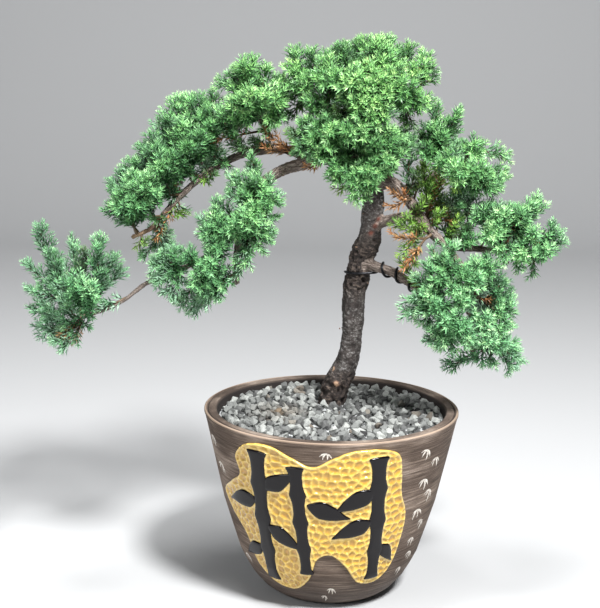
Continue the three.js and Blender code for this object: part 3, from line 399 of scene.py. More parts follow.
# The camera was fitted to the photo; focal and side are its focal length and the picture's side in pixels. The floor
# bends up behind the pot. Lamps have their width in metres and their power in watts.
stage = {
    "camera": {"place": (-30.4, -1300, 541), "pitch": -11.75, "roll": 0.84, "focal": 1452, "side": 608},
    "floor": {"front": -2600, "back": 1900, "bend": 700, "top": 3600, "width": 4000, "steps": 12},
    "lamps": {
        "key": {"place": (620, -1150, 1800), "goal": (0, 0, 300), "width": 0.4, "watts": 100},
        "fill": {"place": (-1500, -1300, 1000), "goal": (0, 0, 250), "width": 1.2, "watts": 17},
        "top": {"place": (-250, -200, 2100), "goal": (0, 0, 250), "width": 0.6, "watts": 36},
    },
    "sky": {"colour": (0.9, 0.94, 1.0), "strength": 0.11},
}


def makeCamera():
    setting = stage["camera"]
    data = bpy.data.cameras.new("camera")
    data.sensor_width = 36
    data.lens = data.sensor_width * setting["focal"] / setting["side"]
    camera = linkObject("camera", data)
    pitch = Matrix.Rotation(math.radians(90 + setting["pitch"]), 4, "X")
    roll = Matrix.Rotation(math.radians(setting["roll"]), 4, "Z")
    camera.matrix_world = Matrix.Translation(mm * Vector(setting["place"])) @ pitch @ roll
    bpy.context.scene.camera = camera


def makeFloor():
    shape = stage["floor"]
    pale = Look("floor").finish(rgb(0.45, 0.455, 0.46), 0.85)
    profile = [(shape["front"], 0), (shape["back"], 0)]
    for k in range(1, shape["steps"] + 1):
        turn = math.radians(90 * k / shape["steps"])
        profile.append((shape["back"] + shape["bend"] * math.sin(turn), shape["bend"] * (1 - math.cos(turn))))
    profile.append((shape["back"] + shape["bend"], shape["top"]))
    points = [(x, y, z) for y, z in profile for x in (-shape["width"], shape["width"])]
    faces = [(2 * i, 2 * i + 1, 2 * i + 3, 2 * i + 2) for i in range(len(profile) - 1)]
    floor = linkObject("floor", meshOf("floor", points, faces))
    floor.data.materials.append(pale)


def makeStage():
    makeCamera()
    makeFloor()
    for name, setting in stage["lamps"].items():
        lamp = bpy.data.lights.new(name, "AREA")
        lamp.shape = "DISK"
        lamp.size = setting["width"]
        lamp.energy = setting["watts"]
        holder = linkObject(name, lamp)
        place = Vector(setting["place"])
        holder.location = mm * place
        holder.rotation_euler = (Vector(setting["goal"]) - place).to_track_quat("-Z", "Y").to_euler()
    world = bpy.data.worlds.new("studio")
    world.use_nodes = True
    sky = world.node_tree.nodes["Background"].inputs
    sky[0].default_value = rgb(*stage["sky"]["colour"])
    sky[1].default_value = stage["sky"]["strength"]
    bpy.context.scene.world = world
    bpy.context.scene.view_settings.view_transform = "Standard"
    print("stage")


# Pot

# Profiles as [radius, height], with a tone for each point of the rim: above 0 a painted highlight on its outer edge,
# below 0 a darker lip, with painted shade in its groove and at its inner edge; places on the wall are [degrees from
# the front, height], with this many mm a degree
pot = {
    "outside": [
        [44, 0], [47, 0.3], [50, 1.0], [54, 2.5], [58, 5], [63, 9], [68, 14.6], [73, 21], [78.6, 31], [84, 42],
        [91.6, 66], [99, 90], [108, 130], [115.2, 163], [116.9, 170],
    ],
    "rim": [
        [117.6, 171.6], [117.6, 173.2], [116.4, 174.0], [115.2, 173.6], [114.7, 172.2], [113.9, 172.3],
        [113.3, 173.6], [112.6, 173.9], [107.6, 173.7], [106.3, 173.0],
    ],
    "rimToneAndLight": (0, 0.6, 1, 0, -0.8, -0.9, -0.5, -0.5, -0.5, -0.8),
    "inside": [[105.6, 171.5], [98.6, 139], [88, 90], [78, 60], [69, 36], [56, 21], [46, 12], [0, 12]],
    "drains": {"radius": 5, "ring": 30, "count": 3, "sides": 24},
    "perDegree": 1.7,
    "segments": 176,
    "step": 6,
}
# Insets are rings of points inside the edge; dimples are a grid of hollows, as their reach along and up with the
# pitch of each, and how far they wander
panel = {
    "outline": [
        [-66, 108], [-56, 122], [-48, 133], [-49, 150], [-41, 164], [-29, 167], [-18, 158], [-9, 151], [0, 160],
        [9, 167], [21, 167], [30, 160], [33, 142], [35, 121], [40, 100], [41, 72], [39, 48], [31, 31], [18, 32],
        [9, 50], [0, 63], [-8, 57], [-13, 36], [-24, 22], [-40, 26], [-50, 46], [-53, 70], [-61, 90],
    ],
    "raised": 1.6,
    "pitch": 1.35,
    "insets": [0.7, 1.4, 2.3, 3.4],
    "dimples": {"along": (-125, 85, 7.6), "up": (10, 175, 6.6), "wander": (2.6, 2.4), "wall": 5, "deep": 1.2},
    "bead": 0.35,
}
# Leaves as [degrees, height, turn, length], and their half outline as shares of length and width
motif = {
    "raised": 1.5,
    "pitch": 1.5,
    "insets": [0.35, 0.9, 1.7],
    "culms": [
        {"foot": [-38, 30], "top": [-35, 160], "width": 16, "joints": 3},
        {"foot": [-14, 42], "top": [-17, 150], "width": 13, "joints": 3},
        {"foot": [26, 36], "top": [20, 160], "width": 14.5, "joints": 3},
    ],
    "leafWidth": 18,
    "leaves": [
        [-39, 112, 194, 36], [-33, 124, 36, 34], [-41, 64, 208, 30], [-34, 88, -34, 38], [-12, 114, -20, 38],
        [20, 98, 206, 38], [20, 128, 212, 38], [28, 72, -52, 26],
    ],
    "leafShape": [(0, 0), (0.12, -0.26), (0.34, -0.47), (0.62, -0.36), (0.86, -0.14), (1, 0.03),
                  (0.84, 0.15), (0.6, 0.36), (0.3, 0.47), (0.1, 0.24)],
    "edgePitch": 0.9,
}


def wallRadius(height):
    radii, heights = zip(*pot["outside"])
    return float(np.interp(height, heights, radii))


def onWall(along, height, proud):
    turn = math.radians(along / pot["perDegree"])
    radius = wallRadius(height) + proud
    return (radius * math.sin(turn), -radius * math.cos(turn), height)


def flatPoint(pair):
    return np.array([pair[0] * pot["perDegree"], pair[1]], float)


def roundLoop(corners, pitch):
    corners = np.asarray(corners, float)
    count = len(corners)
    out = []
    for i in range(count):
        a, b, c, d = (corners[(i + k) % count] for k in (-1, 0, 1, 2))
        steps = max(2, int(np.linalg.norm(c - b) / pitch))
        out += [curvePoint(a, b, c, d, t) for t in np.arange(steps) / steps]
    return np.array(out)


def culmLoop(culm):
    foot, top = flatPoint(culm["foot"]), flatPoint(culm["top"])
    along = (top - foot) / np.linalg.norm(top - foot)
    across = np.array([-along[1], along[0]])
    left, right = [], []
    count = 6 * culm["joints"] + 6
    for i in range(count + 1):
        share = i / count
        beat = abs(math.cos(math.pi * share * (culm["joints"] + 1)))
        half = culm["width"] * (0.4 + 0.14 * beat ** 6) * (0.9 if i in (0, count) else 1)
        middle = foot + (top - foot) * share
        left.append(middle + across * half)
        right.append(middle - across * half)
    return roundLoop(right + left[::-1], motif["edgePitch"])


def leafLoop(leaf):
    start, turn, length = flatPoint(leaf[:2]), math.radians(leaf[2]), leaf[3]
    along = np.array([math.cos(turn), math.sin(turn)])
    across = np.array([-along[1], along[0]])
    slim = min(1, length / 36)
    corners = [start + along * u * length + across * w * motif["leafWidth"] * slim for u, w in motif["leafShape"]]
    return roundLoop(corners, motif["edgePitch"])


def insideLoop(points, loop):
    x, y = points[:, 0][:, None], points[:, 1][:, None]
    ax, ay = loop[:, 0], loop[:, 1]
    bx, by = np.roll(ax, -1), np.roll(ay, -1)
    crosses = ((ay > y) != (by > y)) & (x < (bx - ax) * (y - ay) / (by - ay + 1e-12) + ax)
    return crosses.sum(axis=1) % 2 == 1


def farFrom(points, loop):
    starts, runs = loop, np.roll(loop, -1, axis=0) - loop
    rel = points[:, None, :] - starts[None]
    share = np.clip((rel * runs).sum(2) / (runs ** 2).sum(1), 0, 1)
    return np.linalg.norm(rel - share[..., None] * runs, axis=2).min(axis=1)


def insetLoop(loop, depth):
    runs = np.roll(loop, -1, axis=0) - np.roll(loop, 1, axis=0)
    runs /= np.linalg.norm(runs, axis=1)[:, None]
    return loop + depth * np.column_stack([-runs[:, 1], runs[:, 0]])


def turnedLeft(loop):
    x, y = loop[:, 0], loop[:, 1]
    area = (x * np.roll(y, -1) - np.roll(x, -1) * y).sum()
    return loop if area > 0 else loop[::-1]


# Fills a closed loop with faces: rings of points inside its edge, and a grid in the middle
def filledLoop(loop, pitch, insets):
    loop = turnedLeft(loop)
    rows = []
    low, high = loop.min(axis=0), loop.max(axis=0)
    for j, y in enumerate(np.arange(low[1], high[1], pitch * rowStep)):
        shift = 0.5 * pitch * (j % 2)
        rows += [(x + shift, y) for x in np.arange(low[0], high[0], pitch)]
    grid = np.array(rows)
    grid = grid[insideLoop(grid, loop)]
    grid = grid[farFrom(grid, loop) > insets[-1] + 0.6 * pitch]
    rings = [ring[insideLoop(ring, loop)] for ring in (insetLoop(loop, depth) for depth in insets)]
    rings = [ring[farFrom(ring, loop) > 0.8 * depth] for ring, depth in zip(rings, insets)]
    points = np.vstack([loop, *rings, grid])
    edges = [(i, (i + 1) % len(loop)) for i in range(len(loop))]
    made = geometry.delaunay_2d_cdt([Vector(p) for p in points], edges, [], 1, 1e-4)
    return np.array([tuple(p) for p in made[0]]), made[2], loop


# Raised relief on the wall, with a skirt down into it; rules give each field's values from place and depth
def reliefPiece(name, loops, shape, heightOf, rules, floor):
    points, faces, fields = [], [], {key: [] for key in rules}
    for loop in loops:
        flat, sets, edge = filledLoop(loop, shape["pitch"], shape["insets"])
        depth = farFrom(flat, edge)
        base = len(points)
        points += [onWall(x, y, h) for (x, y), h in zip(flat, heightOf(flat, depth))]
        faces += [tuple(base + i for i in face) for face in sets]
        skirt = len(points)
        order = [int(np.argmin(np.abs(flat - p).sum(axis=1))) for p in edge]
        points += [onWall(x, y, floor) for x, y in edge]
        for k in range(len(edge)):
            n = (k + 1) % len(edge)
            faces.append((base + order[n], base + order[k], skirt + k, skirt + n))
        for key, rule in rules.items():
            values = rule(flat, depth)
            fields[key] += list(values) + [values[i] for i in order]
    return linkObject(name, meshOf(name, points, faces, {key: ("FLOAT", values) for key, values in fields.items()}))


def dimplesOf(points):
    draw, shape = random.Random(5), panel["dimples"]
    (left, right, pitch), (low, high, rise), (sideways, upAndDown) = shape["along"], shape["up"], shape["wander"]
    cells = []
    for j, y in enumerate(np.arange(low, high, rise)):
        for x in np.arange(left, right, pitch):
            cells.append((x + 0.5 * pitch * (j % 2) + draw.uniform(-sideways, sideways),
                          y + draw.uniform(-upAndDown, upAndDown)))
    far = np.sort(np.linalg.norm(points[:, None] - np.array(cells)[None], axis=2), axis=1)
    return np.clip((far[:, 1] - far[:, 0]) / shape["wall"], 0, 1)


def potRows():
    rows = [(r, z, 0.0) for r, z in pot["outside"]] + [(r, z, 1.0) for r, z in pot["rim"]]
    rows += [(r, z, -1.0) for r, z in pot["inside"]]
    dense = [rows[0]]
    for row in rows[1:]:
        first = dense[-1]
        gap = math.hypot(row[0] - first[0], row[1] - first[1])
        count = max(1, round(gap / pot["step"])) if row[0] > 0 else 1
        dense += [tuple(a + (b - a) * k / count for a, b in zip(first, row)) for k in range(1, count + 1)]
    return dense[:-1]


def drainHoles():
    drains, holes = pot["drains"], []
    for n in range(drains["count"]):
        turn = 2 * math.pi * n / drains["count"] + math.pi / 2
        middle = drains["ring"] * np.array([math.cos(turn), math.sin(turn)])
        turns = 2 * np.arange(drains["sides"]) * math.pi / drains["sides"]
        holes.append(np.array([middle + drains["radius"] * np.array([math.cos(t), math.sin(t)]) for t in turns]))
    return holes


def flatPlate(outer, holes):
    edges, base = [], 0
    for ring in (outer, *holes):
        edges += [(base + k, base + (k + 1) % len(ring)) for k in range(len(ring))]
        base += len(ring)
    made = geometry.delaunay_2d_cdt([Vector(p) for p in np.vstack([outer, *holes])], edges, [], 0, 1e-5)
    centres = np.array([np.mean([made[0][i] for i in face], axis=0) for face in made[2]])
    open_ = np.any([insideLoop(centres, ring) for ring in holes], axis=0)
    return made[0], [face for face, hole in zip(made[2], open_) if not hole]


def makeWall():
    segments, sides, floor = pot["segments"], pot["drains"]["sides"], pot["inside"][-1][1]
    rows, holes = potRows(), drainHoles()
    tones = {(round(r, 2), round(z, 2)): tone for (r, z), tone in zip(pot["rim"], pot["rimToneAndLight"])}
    points, wallToneAndLight = [], []
    for r, z, part in rows:
        # each point's tone: the rim's from its table, -1 for painted shade down the inner wall, 0 outside
        wallToneAndLight += [tones.get((round(r, 2), round(z, 2)), -1 if part < 0 else 0)] * segments
        for k in range(segments):
            turn = 2 * math.pi * k / segments
            points.append((r * math.sin(turn), -r * math.cos(turn), z))
    faces = bandFaces(len(rows), segments)
    for level, first in ((0, 0), (floor, (len(rows) - 1) * segments)):
        flat, kept = flatPlate(np.array([p[:2] for p in points[first:first + segments]]), holes)
        offset = len(points)
        points += [(*p, level) for p in flat]
        # the inner floor's points are painted shade (-0.75)
        wallToneAndLight += [-0.75 if level else 0] * len(flat)
        faces += [tuple(offset + i for i in (face if level else face[::-1])) for face in kept]
    for ring in holes:
        offset = len(points)
        points += [(x, y, level) for level in (0, floor) for x, y in ring]
        wallToneAndLight += [0] * (2 * sides)
        for k in range(sides):
            n = (k + 1) % sides
            faces.append((offset + n, offset + k, offset + sides + k, offset + sides + n))
    fields = {"rim": ("FLOAT", wallToneAndLight), "height": ("FLOAT", [p[2] for p in points])}
    wall = linkObject("pot_wall", meshOf("pot_wall", points, faces, fields))
    addPiece(wall, stonewareLook(), "stoneware", "pot")
    return wall


def makePanel(motifs):
    def motifGap(flat):
        gaps = []
        for loop in motifs:
            far = farFrom(flat, loop)
            gaps.append(np.where(insideLoop(flat, loop), -far, far))
        return np.min(gaps, axis=0)

    def height(flat, depth):
        calm = np.clip((depth - 1.6) / 2.5, 0, 1) * np.clip((motifGap(flat) - 0.8) / 2.0, 0, 1)
        bead = np.exp(-((depth - 1.3) / 1.0) ** 2)
        rounded = np.sqrt(np.clip(depth / 1.2, 0, 1))
        hollow = calm * np.sin(0.5 * math.pi * dimplesOf(flat)) ** 0.7
        edged = panel["raised"] * (0.25 + 0.75 * rounded) + panel["bead"] * bead
        return edged - panel["dimples"]["deep"] * hollow + 0.25

    def edge(flat, depth):
        return np.maximum(np.clip(1.6 - np.abs(depth - 1.1), 0, 1), np.clip(1.7 - np.abs(motifGap(flat) - 0.5), 0, 1))

    outline = roundLoop([flatPoint(p) for p in panel["outline"]], 1.0)
    rules = {"dimple": lambda flat, depth: 1 - dimplesOf(flat), "edge": edge}
    gold = reliefPiece("pot_panel", [outline], panel, height, rules, -0.5)
    addPiece(gold, goldLook(), "gold_glaze", "pot")
    return gold


def makePot():
    def domed(flat, depth):
        dome = np.sqrt(np.clip(1 - (1 - np.clip(depth / 2.6, 0, 1)) ** 2, 0, 1))
        return panel["raised"] + 0.2 + (motif["raised"] + 0.2) * dome

    wall = makeWall()
    motifs = [culmLoop(culm) for culm in motif["culms"]] + [leafLoop(leaf) for leaf in motif["leaves"]]
    gold = makePanel(motifs)
    black = reliefPiece("pot_motif", motifs, motif, domed, {}, 0.2)
    addPiece(black, blackGlazeLook(), "black_glaze", "pot")
    print("pot", len(wall.data.polygons), len(gold.data.polygons), len(black.data.polygons))


# Pale tufts of bamboo leaves brushed on the wall, as [degrees, height, size, turn]
tufts = {
    "places": [
        [-71, 156, 9, 8], [-66, 132, 9, -10], [-3, 165, 6, 5], [47, 158, 9, -8], [56, 146, 8, 12], [50, 128, 9, 6],
        [58, 114, 9, -10], [50, 98, 9, 10], [58, 84, 8, -6], [53, 68, 9, 8], [57, 52, 8, -8], [51, 38, 8, 6],
        [1, 26, 7, 6], [-3, 16, 6, -10], [-63, 44, 8, 8], [-92, 140, 9, 6], [-88, 108, 9, -8], [-91, 74, 9, 8],
        [84, 150, 9, 8], [89, 122, 9, -8], [85, 94, 9, 8], [90, 66, 8, -8], [122, 140, 10, 8], [126, 104, 10, -8],
        [152, 128, 10, 8], [150, 90, 10, -8], [180, 142, 10, 8], [178, 100, 10, -8], [-152, 130, 10, 8],
        [-150, 92, 10, -8], [-122, 144, 10, 8], [-120, 108, 10, -8],
    ],
    "leaves": (-66, -30, 6, 38), "width": 0.2, "bow": 0.1, "steps": 7, "size": 1.3, "proud": 0.16,
}


def makeTufts():
    draw = random.Random(11)
    points, faces = [], []

    def leaf(x, y, way, length, bow):
        along = np.array([math.sin(way), -math.cos(way)])
        across = np.array([-along[1], along[0]])
        for i in range(tufts["steps"]):
            t = i / (tufts["steps"] - 1)
            middle = np.array([x, y]) + along * length * t + across * length * bow * math.sin(math.pi * t)
            half = 0.5 * length * tufts["width"] * max(0.08, math.sin(math.pi * t ** 0.8) ** 0.8)
            for side in (-half, half):
                points.append(onWall(*(middle + across * side), tufts["proud"]))
            if i:
                a = len(points) - 4
                faces.append((a, a + 1, a + 3, a + 2))

    for degrees, height, size, turn in tufts["places"]:
        for way in tufts["leaves"]:
            length = tufts["size"] * size * (1 - abs(way) / 260) * draw.uniform(0.8, 1.1)
            angle = math.radians(way + turn + draw.uniform(-6, 6))
            leaf(degrees * pot["perDegree"], height, angle, length, tufts["bow"] * (1 if way > 0 else -1))
    made = linkObject("pot_tufts", meshOf("pot_tufts", points, faces))
    addPiece(made, paintLook(), "stoneware", "pot")
    print("tufts", len(faces))


# Gravel

# The top falls from the crown to the edge. Stones lie in two layers, with the height of each; some of the upper ones
# are left out. The lower layer is painted dark as shade between the upper stones. The bed under them is rings of
# faces, painted near black as shade.
gravel = {
    "edge": 168, "crown": 169.8, "radius": 104.8, "pitch": 8.2, "sizes": (3.5, 5.7), "wander": 1.7,
    "layers": (-2.6, 0.7), "uneven": 1.1, "missing": 0.25, "shapes": 8, "corners": 17,
    "dirt": {"middle": (-48, -8), "reach": (26, 30), "specks": 0.03},
    "bed": {"rings": 24, "sides": 96, "below": 3.2, "uneven": 1.2},
}


def gravelTop(x, y):
    return gravel["crown"] + (gravel["edge"] - gravel["crown"]) * (math.hypot(x, y) / 100) ** 2


def stoneShapes():
    draw = random.Random(17)
    made = []
    for n in range(gravel["shapes"]):
        corners = []
        while len(corners) < gravel["corners"]:
            p = Vector([draw.uniform(-1, 1) for _ in range(3)])
            if 0.55 < p.length < 1:
                corners.append((p.x * draw.uniform(0.95, 1.2), p.y, p.z * 0.82))
        mesh = bpy.data.meshes.new("stone")
        shape = bmesh.new()
        for corner in corners:
            shape.verts.new([mm * v for v in corner])
        hull = bmesh.ops.convex_hull(shape, input=shape.verts)
        spare = {v for v in hull["geom_interior"] + hull["geom_unused"] if isinstance(v, bmesh.types.BMVert)}
        bmesh.ops.delete(shape, geom=list(spare), context="VERTS")
        shape.to_mesh(mesh)
        shape.free()
        made.append(bpy.data.objects.new(f"stone_{n}", mesh))
    return made


def makeStones():
    draw = random.Random(23)
    places, turns, sizes, tonesAndShade, picks, dirts = [], [], [], [], [], []
    foot, pitch, wander = wood["branches"]["trunk"][2], gravel["pitch"], gravel["wander"]
    (dirtX, dirtY), (reachX, reachY) = gravel["dirt"]["middle"], gravel["dirt"]["reach"]
    limit = 2 * (int(gravel["radius"] / pitch) + 2)
    for layer, rise in enumerate(gravel["layers"]):
        for i in range(-limit, limit):
            for j in range(-limit, limit):
                x = pitch * (i + 0.5 * (j % 2) + 0.5 * layer) + draw.uniform(-wander, wander)
                y = pitch * rowStep * j + 2 * layer + draw.uniform(-wander, wander)
                size = draw.uniform(*gravel["sizes"]) * (1.0 if layer else 0.9)
                if math.hypot(x, y) > gravel["radius"] - size * 1.05:
                    continue
                if math.hypot(x - foot[0], y - foot[1]) < foot[3] + 0.6 * size:
                    continue
                if layer and draw.random() < gravel["missing"]:
                    continue
                places.append((x, y, gravelTop(x, y) + rise + draw.uniform(-gravel["uneven"], gravel["uneven"])))
                turns.append(tuple(Quaternion([draw.gauss(0, 1) for _ in range(4)]).normalized()))
                sizes.append((size, size, size))
                # lower stones are painted dark, as shade between the upper ones; upper stones vary at random
                tonesAndShade.append(0.25 + 0.75 * draw.random() if layer else 0.25 * draw.random())
                picks.append(draw.randrange(gravel["shapes"]))
                near = max(0.0, 0.6 - 0.5 * math.hypot((x - dirtX) / reachX, (y - dirtY) / reachY))
                dirts.append(near * draw.uniform(0.5, 1.3) + (0.5 if draw.random() < gravel["dirt"]["specks"] else 0))
    mesh = meshOf("gravel", places, [], {
        "turn": ("QUATERNION", turns), "size": ("FLOAT_VECTOR", sizes), "toneAndShade": ("FLOAT", tonesAndShade),
        "dirt": ("FLOAT", dirts), "pick": ("INT", picks),
    })
    made = linkObject("gravel_stones", mesh)
    scatter(made, stoneShapes())
    addPiece(made, gravelLook(), "gravel", "gravel")
    return len(places), len(made.data.polygons)


def makeBed():
    bed = gravel["bed"]
    sides = bed["sides"]
    points = [(0, 0, gravelTop(0, 0) - 3.5)]
    for i in range(1, bed["rings"] + 1):
        for k in range(sides):
            turn = 2 * math.pi * k / sides
            radius = gravel["radius"] * i / bed["rings"]
            x, y = radius * math.cos(turn), radius * math.sin(turn)
            lift = bed["uneven"] * noise.noise(Vector((x, y, 0)) / 5)
            points.append((x, y, gravelTop(x, y) - bed["below"] + lift))
    faces = [(0, 1 + k, 1 + (k + 1) % sides) for k in range(sides)]
    faces += [(a, d, c, b) for a, b, c, d in bandFaces(bed["rings"], sides, 1)]
    # the bed is painted near black, as shade under the stones
    fields = {"toneAndShade": ("FLOAT", [0] * len(points)), "dirt": ("FLOAT", [0.25] * len(points))}
    made = linkObject("gravel_bed", meshOf("gravel_bed", points, faces, fields))
    addPiece(made, bpy.data.materials["gravel"], "gravel", "gravel")


def makeGravel():
    stones, faces = makeStones()
    makeBed()
    print("gravel", stones, faces)


# Wood

# Branches as [x, y, z, radius]; sawn stubs as root, end, radius at each and how pale the cut is; scars as height,
# place across the front (-1 left, 1 right), size, how proud and kind; stretches of flaking bark as [middle, half
# length]. Bark is how high broad swells, plates, strings and fine grain stand, in mm on thick wood and as shares of
# the radius on slim wood. The voxel and the smoothing are for the wood's skin.
wood = {
    "branches": {
        "trunk": [
            [-2, 39, 106, 11], [-1, 39, 150, 12.6], [1, 38, 168, 12.4], [5, 37, 184, 12.4], [9, 36, 194, 12.2],
            [15, 34.5, 208, 10.6], [18, 33, 222, 10], [19, 31.5, 240, 10], [19.5, 30.5, 262, 10.2],
            [20.5, 29, 280, 11], [23, 26.5, 296, 10.6], [27, 24, 312, 10.8], [31.5, 22.5, 325, 11.2],
            [34, 20.5, 340, 9.8], [35, 18, 357, 9.9], [34.5, 16.5, 372, 9.9], [32, 14, 387, 9.4], [26, 10, 408, 8],
            [21, 6, 426, 5.6], [17, 4, 444, 4.6], [18, 2, 462, 3.6], [22, 1, 479, 2.4],
        ],
        "left_limb": [
            [31, 13, 390, 7.5], [13, 6, 404, 7], [-9, 0, 406, 6], [-29, -6, 400, 5.4], [-45, -10, 395, 5],
            [-60, -14, 387, 4.6], [-71, -18, 375, 4.2], [-78, -20, 358, 3.8], [-85, -22, 336, 3.5],
            [-88, -24, 313, 3.2], [-88, -26, 293, 3],
        ],
        "left_arch": [
            [-20, -3, 403, 4], [-34, -2, 409, 4.3], [-49, 0, 412, 4], [-66, 2, 410, 3.8], [-85, 3, 406, 3.6],
            [-104, 3, 397, 3.4], [-120, 2, 386, 3.2], [-136, 0, 372, 3], [-151, -2, 356, 2.7], [-165, -5, 340, 2.4],
            [-183, -8, 331, 2],
        ],
        "far_left": [
            [-82, -21, 345, 2.8], [-101, -22, 327, 2.8], [-122, -24, 313, 2.6], [-145, -26, 303, 2.4],
            [-168, -28, 293, 2.2], [-189, -30, 277, 2], [-211, -32, 267, 1.9], [-230, -34, 262, 1.7],
        ],
        "crown_left": [[19, 5, 436, 3], [3, 4, 445, 3], [-13, 3, 454, 2.5], [-26, 2, 464, 2]],
        "crown_right": [[18, 3, 451, 3], [36, 2, 458, 2.9], [56, 2, 464, 2.4], [70, 1, 466, 2]],
        "crown_back": [[25, 10, 412, 3.6], [24, 28, 426, 3.2], [20, 46, 443, 2.6], [19, 58, 455, 2]],
        "arch_top": [[-54, 0, 411, 2.8], [-61, 2, 425, 2.7], [-69, 3, 439, 2.4], [-73, 3, 453, 2]],
        "right_limb": [
            [33, 15, 378, 7], [46, 8, 383, 6.6], [56, 3, 379, 6], [66, 0, 368, 5.4], [77, -2, 354, 5],
            [90, -3, 336, 4.6], [106, -3, 327, 4], [126, -2, 325, 3.4], [148, -1, 323, 2.8], [168, 0, 325, 2.2],
        ],
        "right_rise": [
            [58, 2, 376, 3.6], [77, 8, 381, 3.2], [93, 12, 392, 2.8], [109, 12, 399, 2.4], [125, 10, 398, 2],
        ],
        "right_arm": [
            [36, 19, 341, 5], [52, 8, 349, 4.6], [64, -3, 353, 4.2], [76, -13, 350, 3.9], [89, -20, 340, 3.6],
            [103, -23, 325, 3.2], [117, -23, 307, 2.8], [126, -22, 289, 2.2],
        ],
        "wired_branch": [
            [26, 24, 306, 5], [41, 14, 303, 4.6], [55, 4, 300, 4.3], [67, -5, 294, 4], [79, -12, 285, 3.7],
            [92, -17, 272, 3.3], [109, -20, 257, 2.9], [122, -22, 241, 2.8], [131, -24, 224, 2.8],
        ],
    },
    "stubs": [
        [[13, 35, 205], [1.2, 29, 203], 3.4, 2.5, 0.9], [[8, 36, 191], [4.6, 23, 189.5], 4.2, 3.0, 0.55],
        [[31, 24, 318], [20, 13.5, 322], 2.6, 1.4, 0.5], [[20, 30, 268], [8, 25, 272], 2.2, 1.1, 0.4],
        [[22, 28, 284], [33, 20, 287], 2, 1.1, 0.5], [[18, 32, 240], [7, 27, 243], 1.8, 1, 0.4],
        [[33, 20, 350], [25, 11, 353], 1.8, 1, 0.5], [[-45, -10, 395], [-47, -19, 390], 2, 1.2, 0.5],
        [[88, -3, 338], [93, -12, 344], 2, 1.2, 0.5], [[150, -2, 323], [158, -8, 312], 2.2, 1.6, 0.6],
    ],
    "scars": [
        [229, 0.05, 4, 1.1, "dark"], [209, 0.35, 3.4, 0.9, "dark"], [217, -0.85, 3.4, 1.2, "dark"],
        [248, 0.75, 3.6, 1.0, "dark"], [262, -0.75, 3.6, 1.2, "dark"], [240, -0.5, 3, 0.7, "dark"],
        [223, 0.7, 3, 0.8, "dark"], [256, 0.2, 2.8, 0.6, "dark"], [233, 0.5, 3, 0.7, "dark"],
        [244, 0.0, 2.6, 0.6, "dark"], [267, 0.3, 3.2, 0.8, "dark"], [214, -0.1, 2.6, 0.6, "dark"],
        [343, 0.3, 2.8, 0.5, "red"], [336, 0.0, 2.4, 0.4, "red"], [349, 0.5, 2.2, 0.4, "red"],
    ],
    "flaking": {"zones": ([304, 34], [178, 24]), "proud": 2.1, "size": 4.2},
    "bark": {
        "thick": {"broad": 1.5, "plates": 0.7, "fine": 0.5},
        "slim": {"broad": 0.12, "strings": 0.22, "fine": 0.1},
    },
    "step": 2.0, "sides": 14, "stubSides": 10, "voxel": 1.4, "soften": (0.5, 3),
    "wornEnd": {"branch": "left_arch", "reach": 26, "girth": 3.2, "pale": 0.55},
    # the trunk is darker below top, in full reach mm lower
    "footDark": {"top": 172, "reach": 9, "dark": 0.5},
}


def woodMesh():
    step = wood["step"]
    parts = [tube(smoothRoute(route, step), wood["sides"]) for route in wood["branches"].values()]
    for root, end, wide, slim, _ in wood["stubs"]:
        middle = (np.array(root) + np.array(end)) / 2
        route = [[*root, wide], [*middle, 0.5 * (wide + slim)], [*end, slim]]
        parts.append(tube(smoothRoute(route, step), wood["stubSides"]))
    points, faces = gathered(parts)
    made = linkObject("wood", meshOf("wood", points, faces))
    remesh = made.modifiers.new("remesh", "REMESH")
    remesh.mode = "VOXEL"
    remesh.voxel_size = mm * wood["voxel"]
    soften = made.modifiers.new("soften", "SMOOTH")
    soften.factor, soften.iterations = wood["soften"]
    evaluated(made)
    return made


def vectorsOf(collection, key):
    values = np.zeros(3 * len(collection), np.float32)
    collection.foreach_get(key, values)
    return values.reshape(-1, 3)


# Every branch's points in one array each, with a tree to find the nearest and the length along as one long ruler
class Skeleton:
    def __init__(self):
        routes = []
        for n, route in enumerate(wood["branches"].values()):
            dense = smoothRoute(route, wood["step"])
            _, across, other = framesAlong(dense)
            routes.append((dense, across, other, lengthsAlong(dense) + 400 * n, np.full(len(dense), n)))
        joined = (np.concatenate([route[k] for route in routes]) for k in range(5))
        self.knots, self.across, self.other, self.along, self.owner = joined
        self.tree = kdtree.KDTree(len(self.knots))
        for i, knot in enumerate(self.knots):
            self.tree.insert(Vector(knot[:3]), i)
        self.tree.balance()

    def branch(self, name):
        return self.knots[self.owner == list(wood["branches"]).index(name)]

    # Radius, place along, and place on a ring round the branch that a point of the skin belongs to
    def at(self, p):
        near = self.tree.find_n(Vector(p), 6)
        k = min(near, key=lambda hit: hit[2] - self.knots[hit[1]][3])[1]
        rel = p - self.knots[k][:3]
        turn = math.atan2(rel.dot(self.other[k]), rel.dot(self.across[k]))
        radius = float(self.knots[k][3])
        s = self.along[k] + rel.dot(np.cross(self.across[k], self.other[k]))
        return radius, s, Vector((math.cos(turn), math.sin(turn), 0)) * (0.5 + radius / 8)


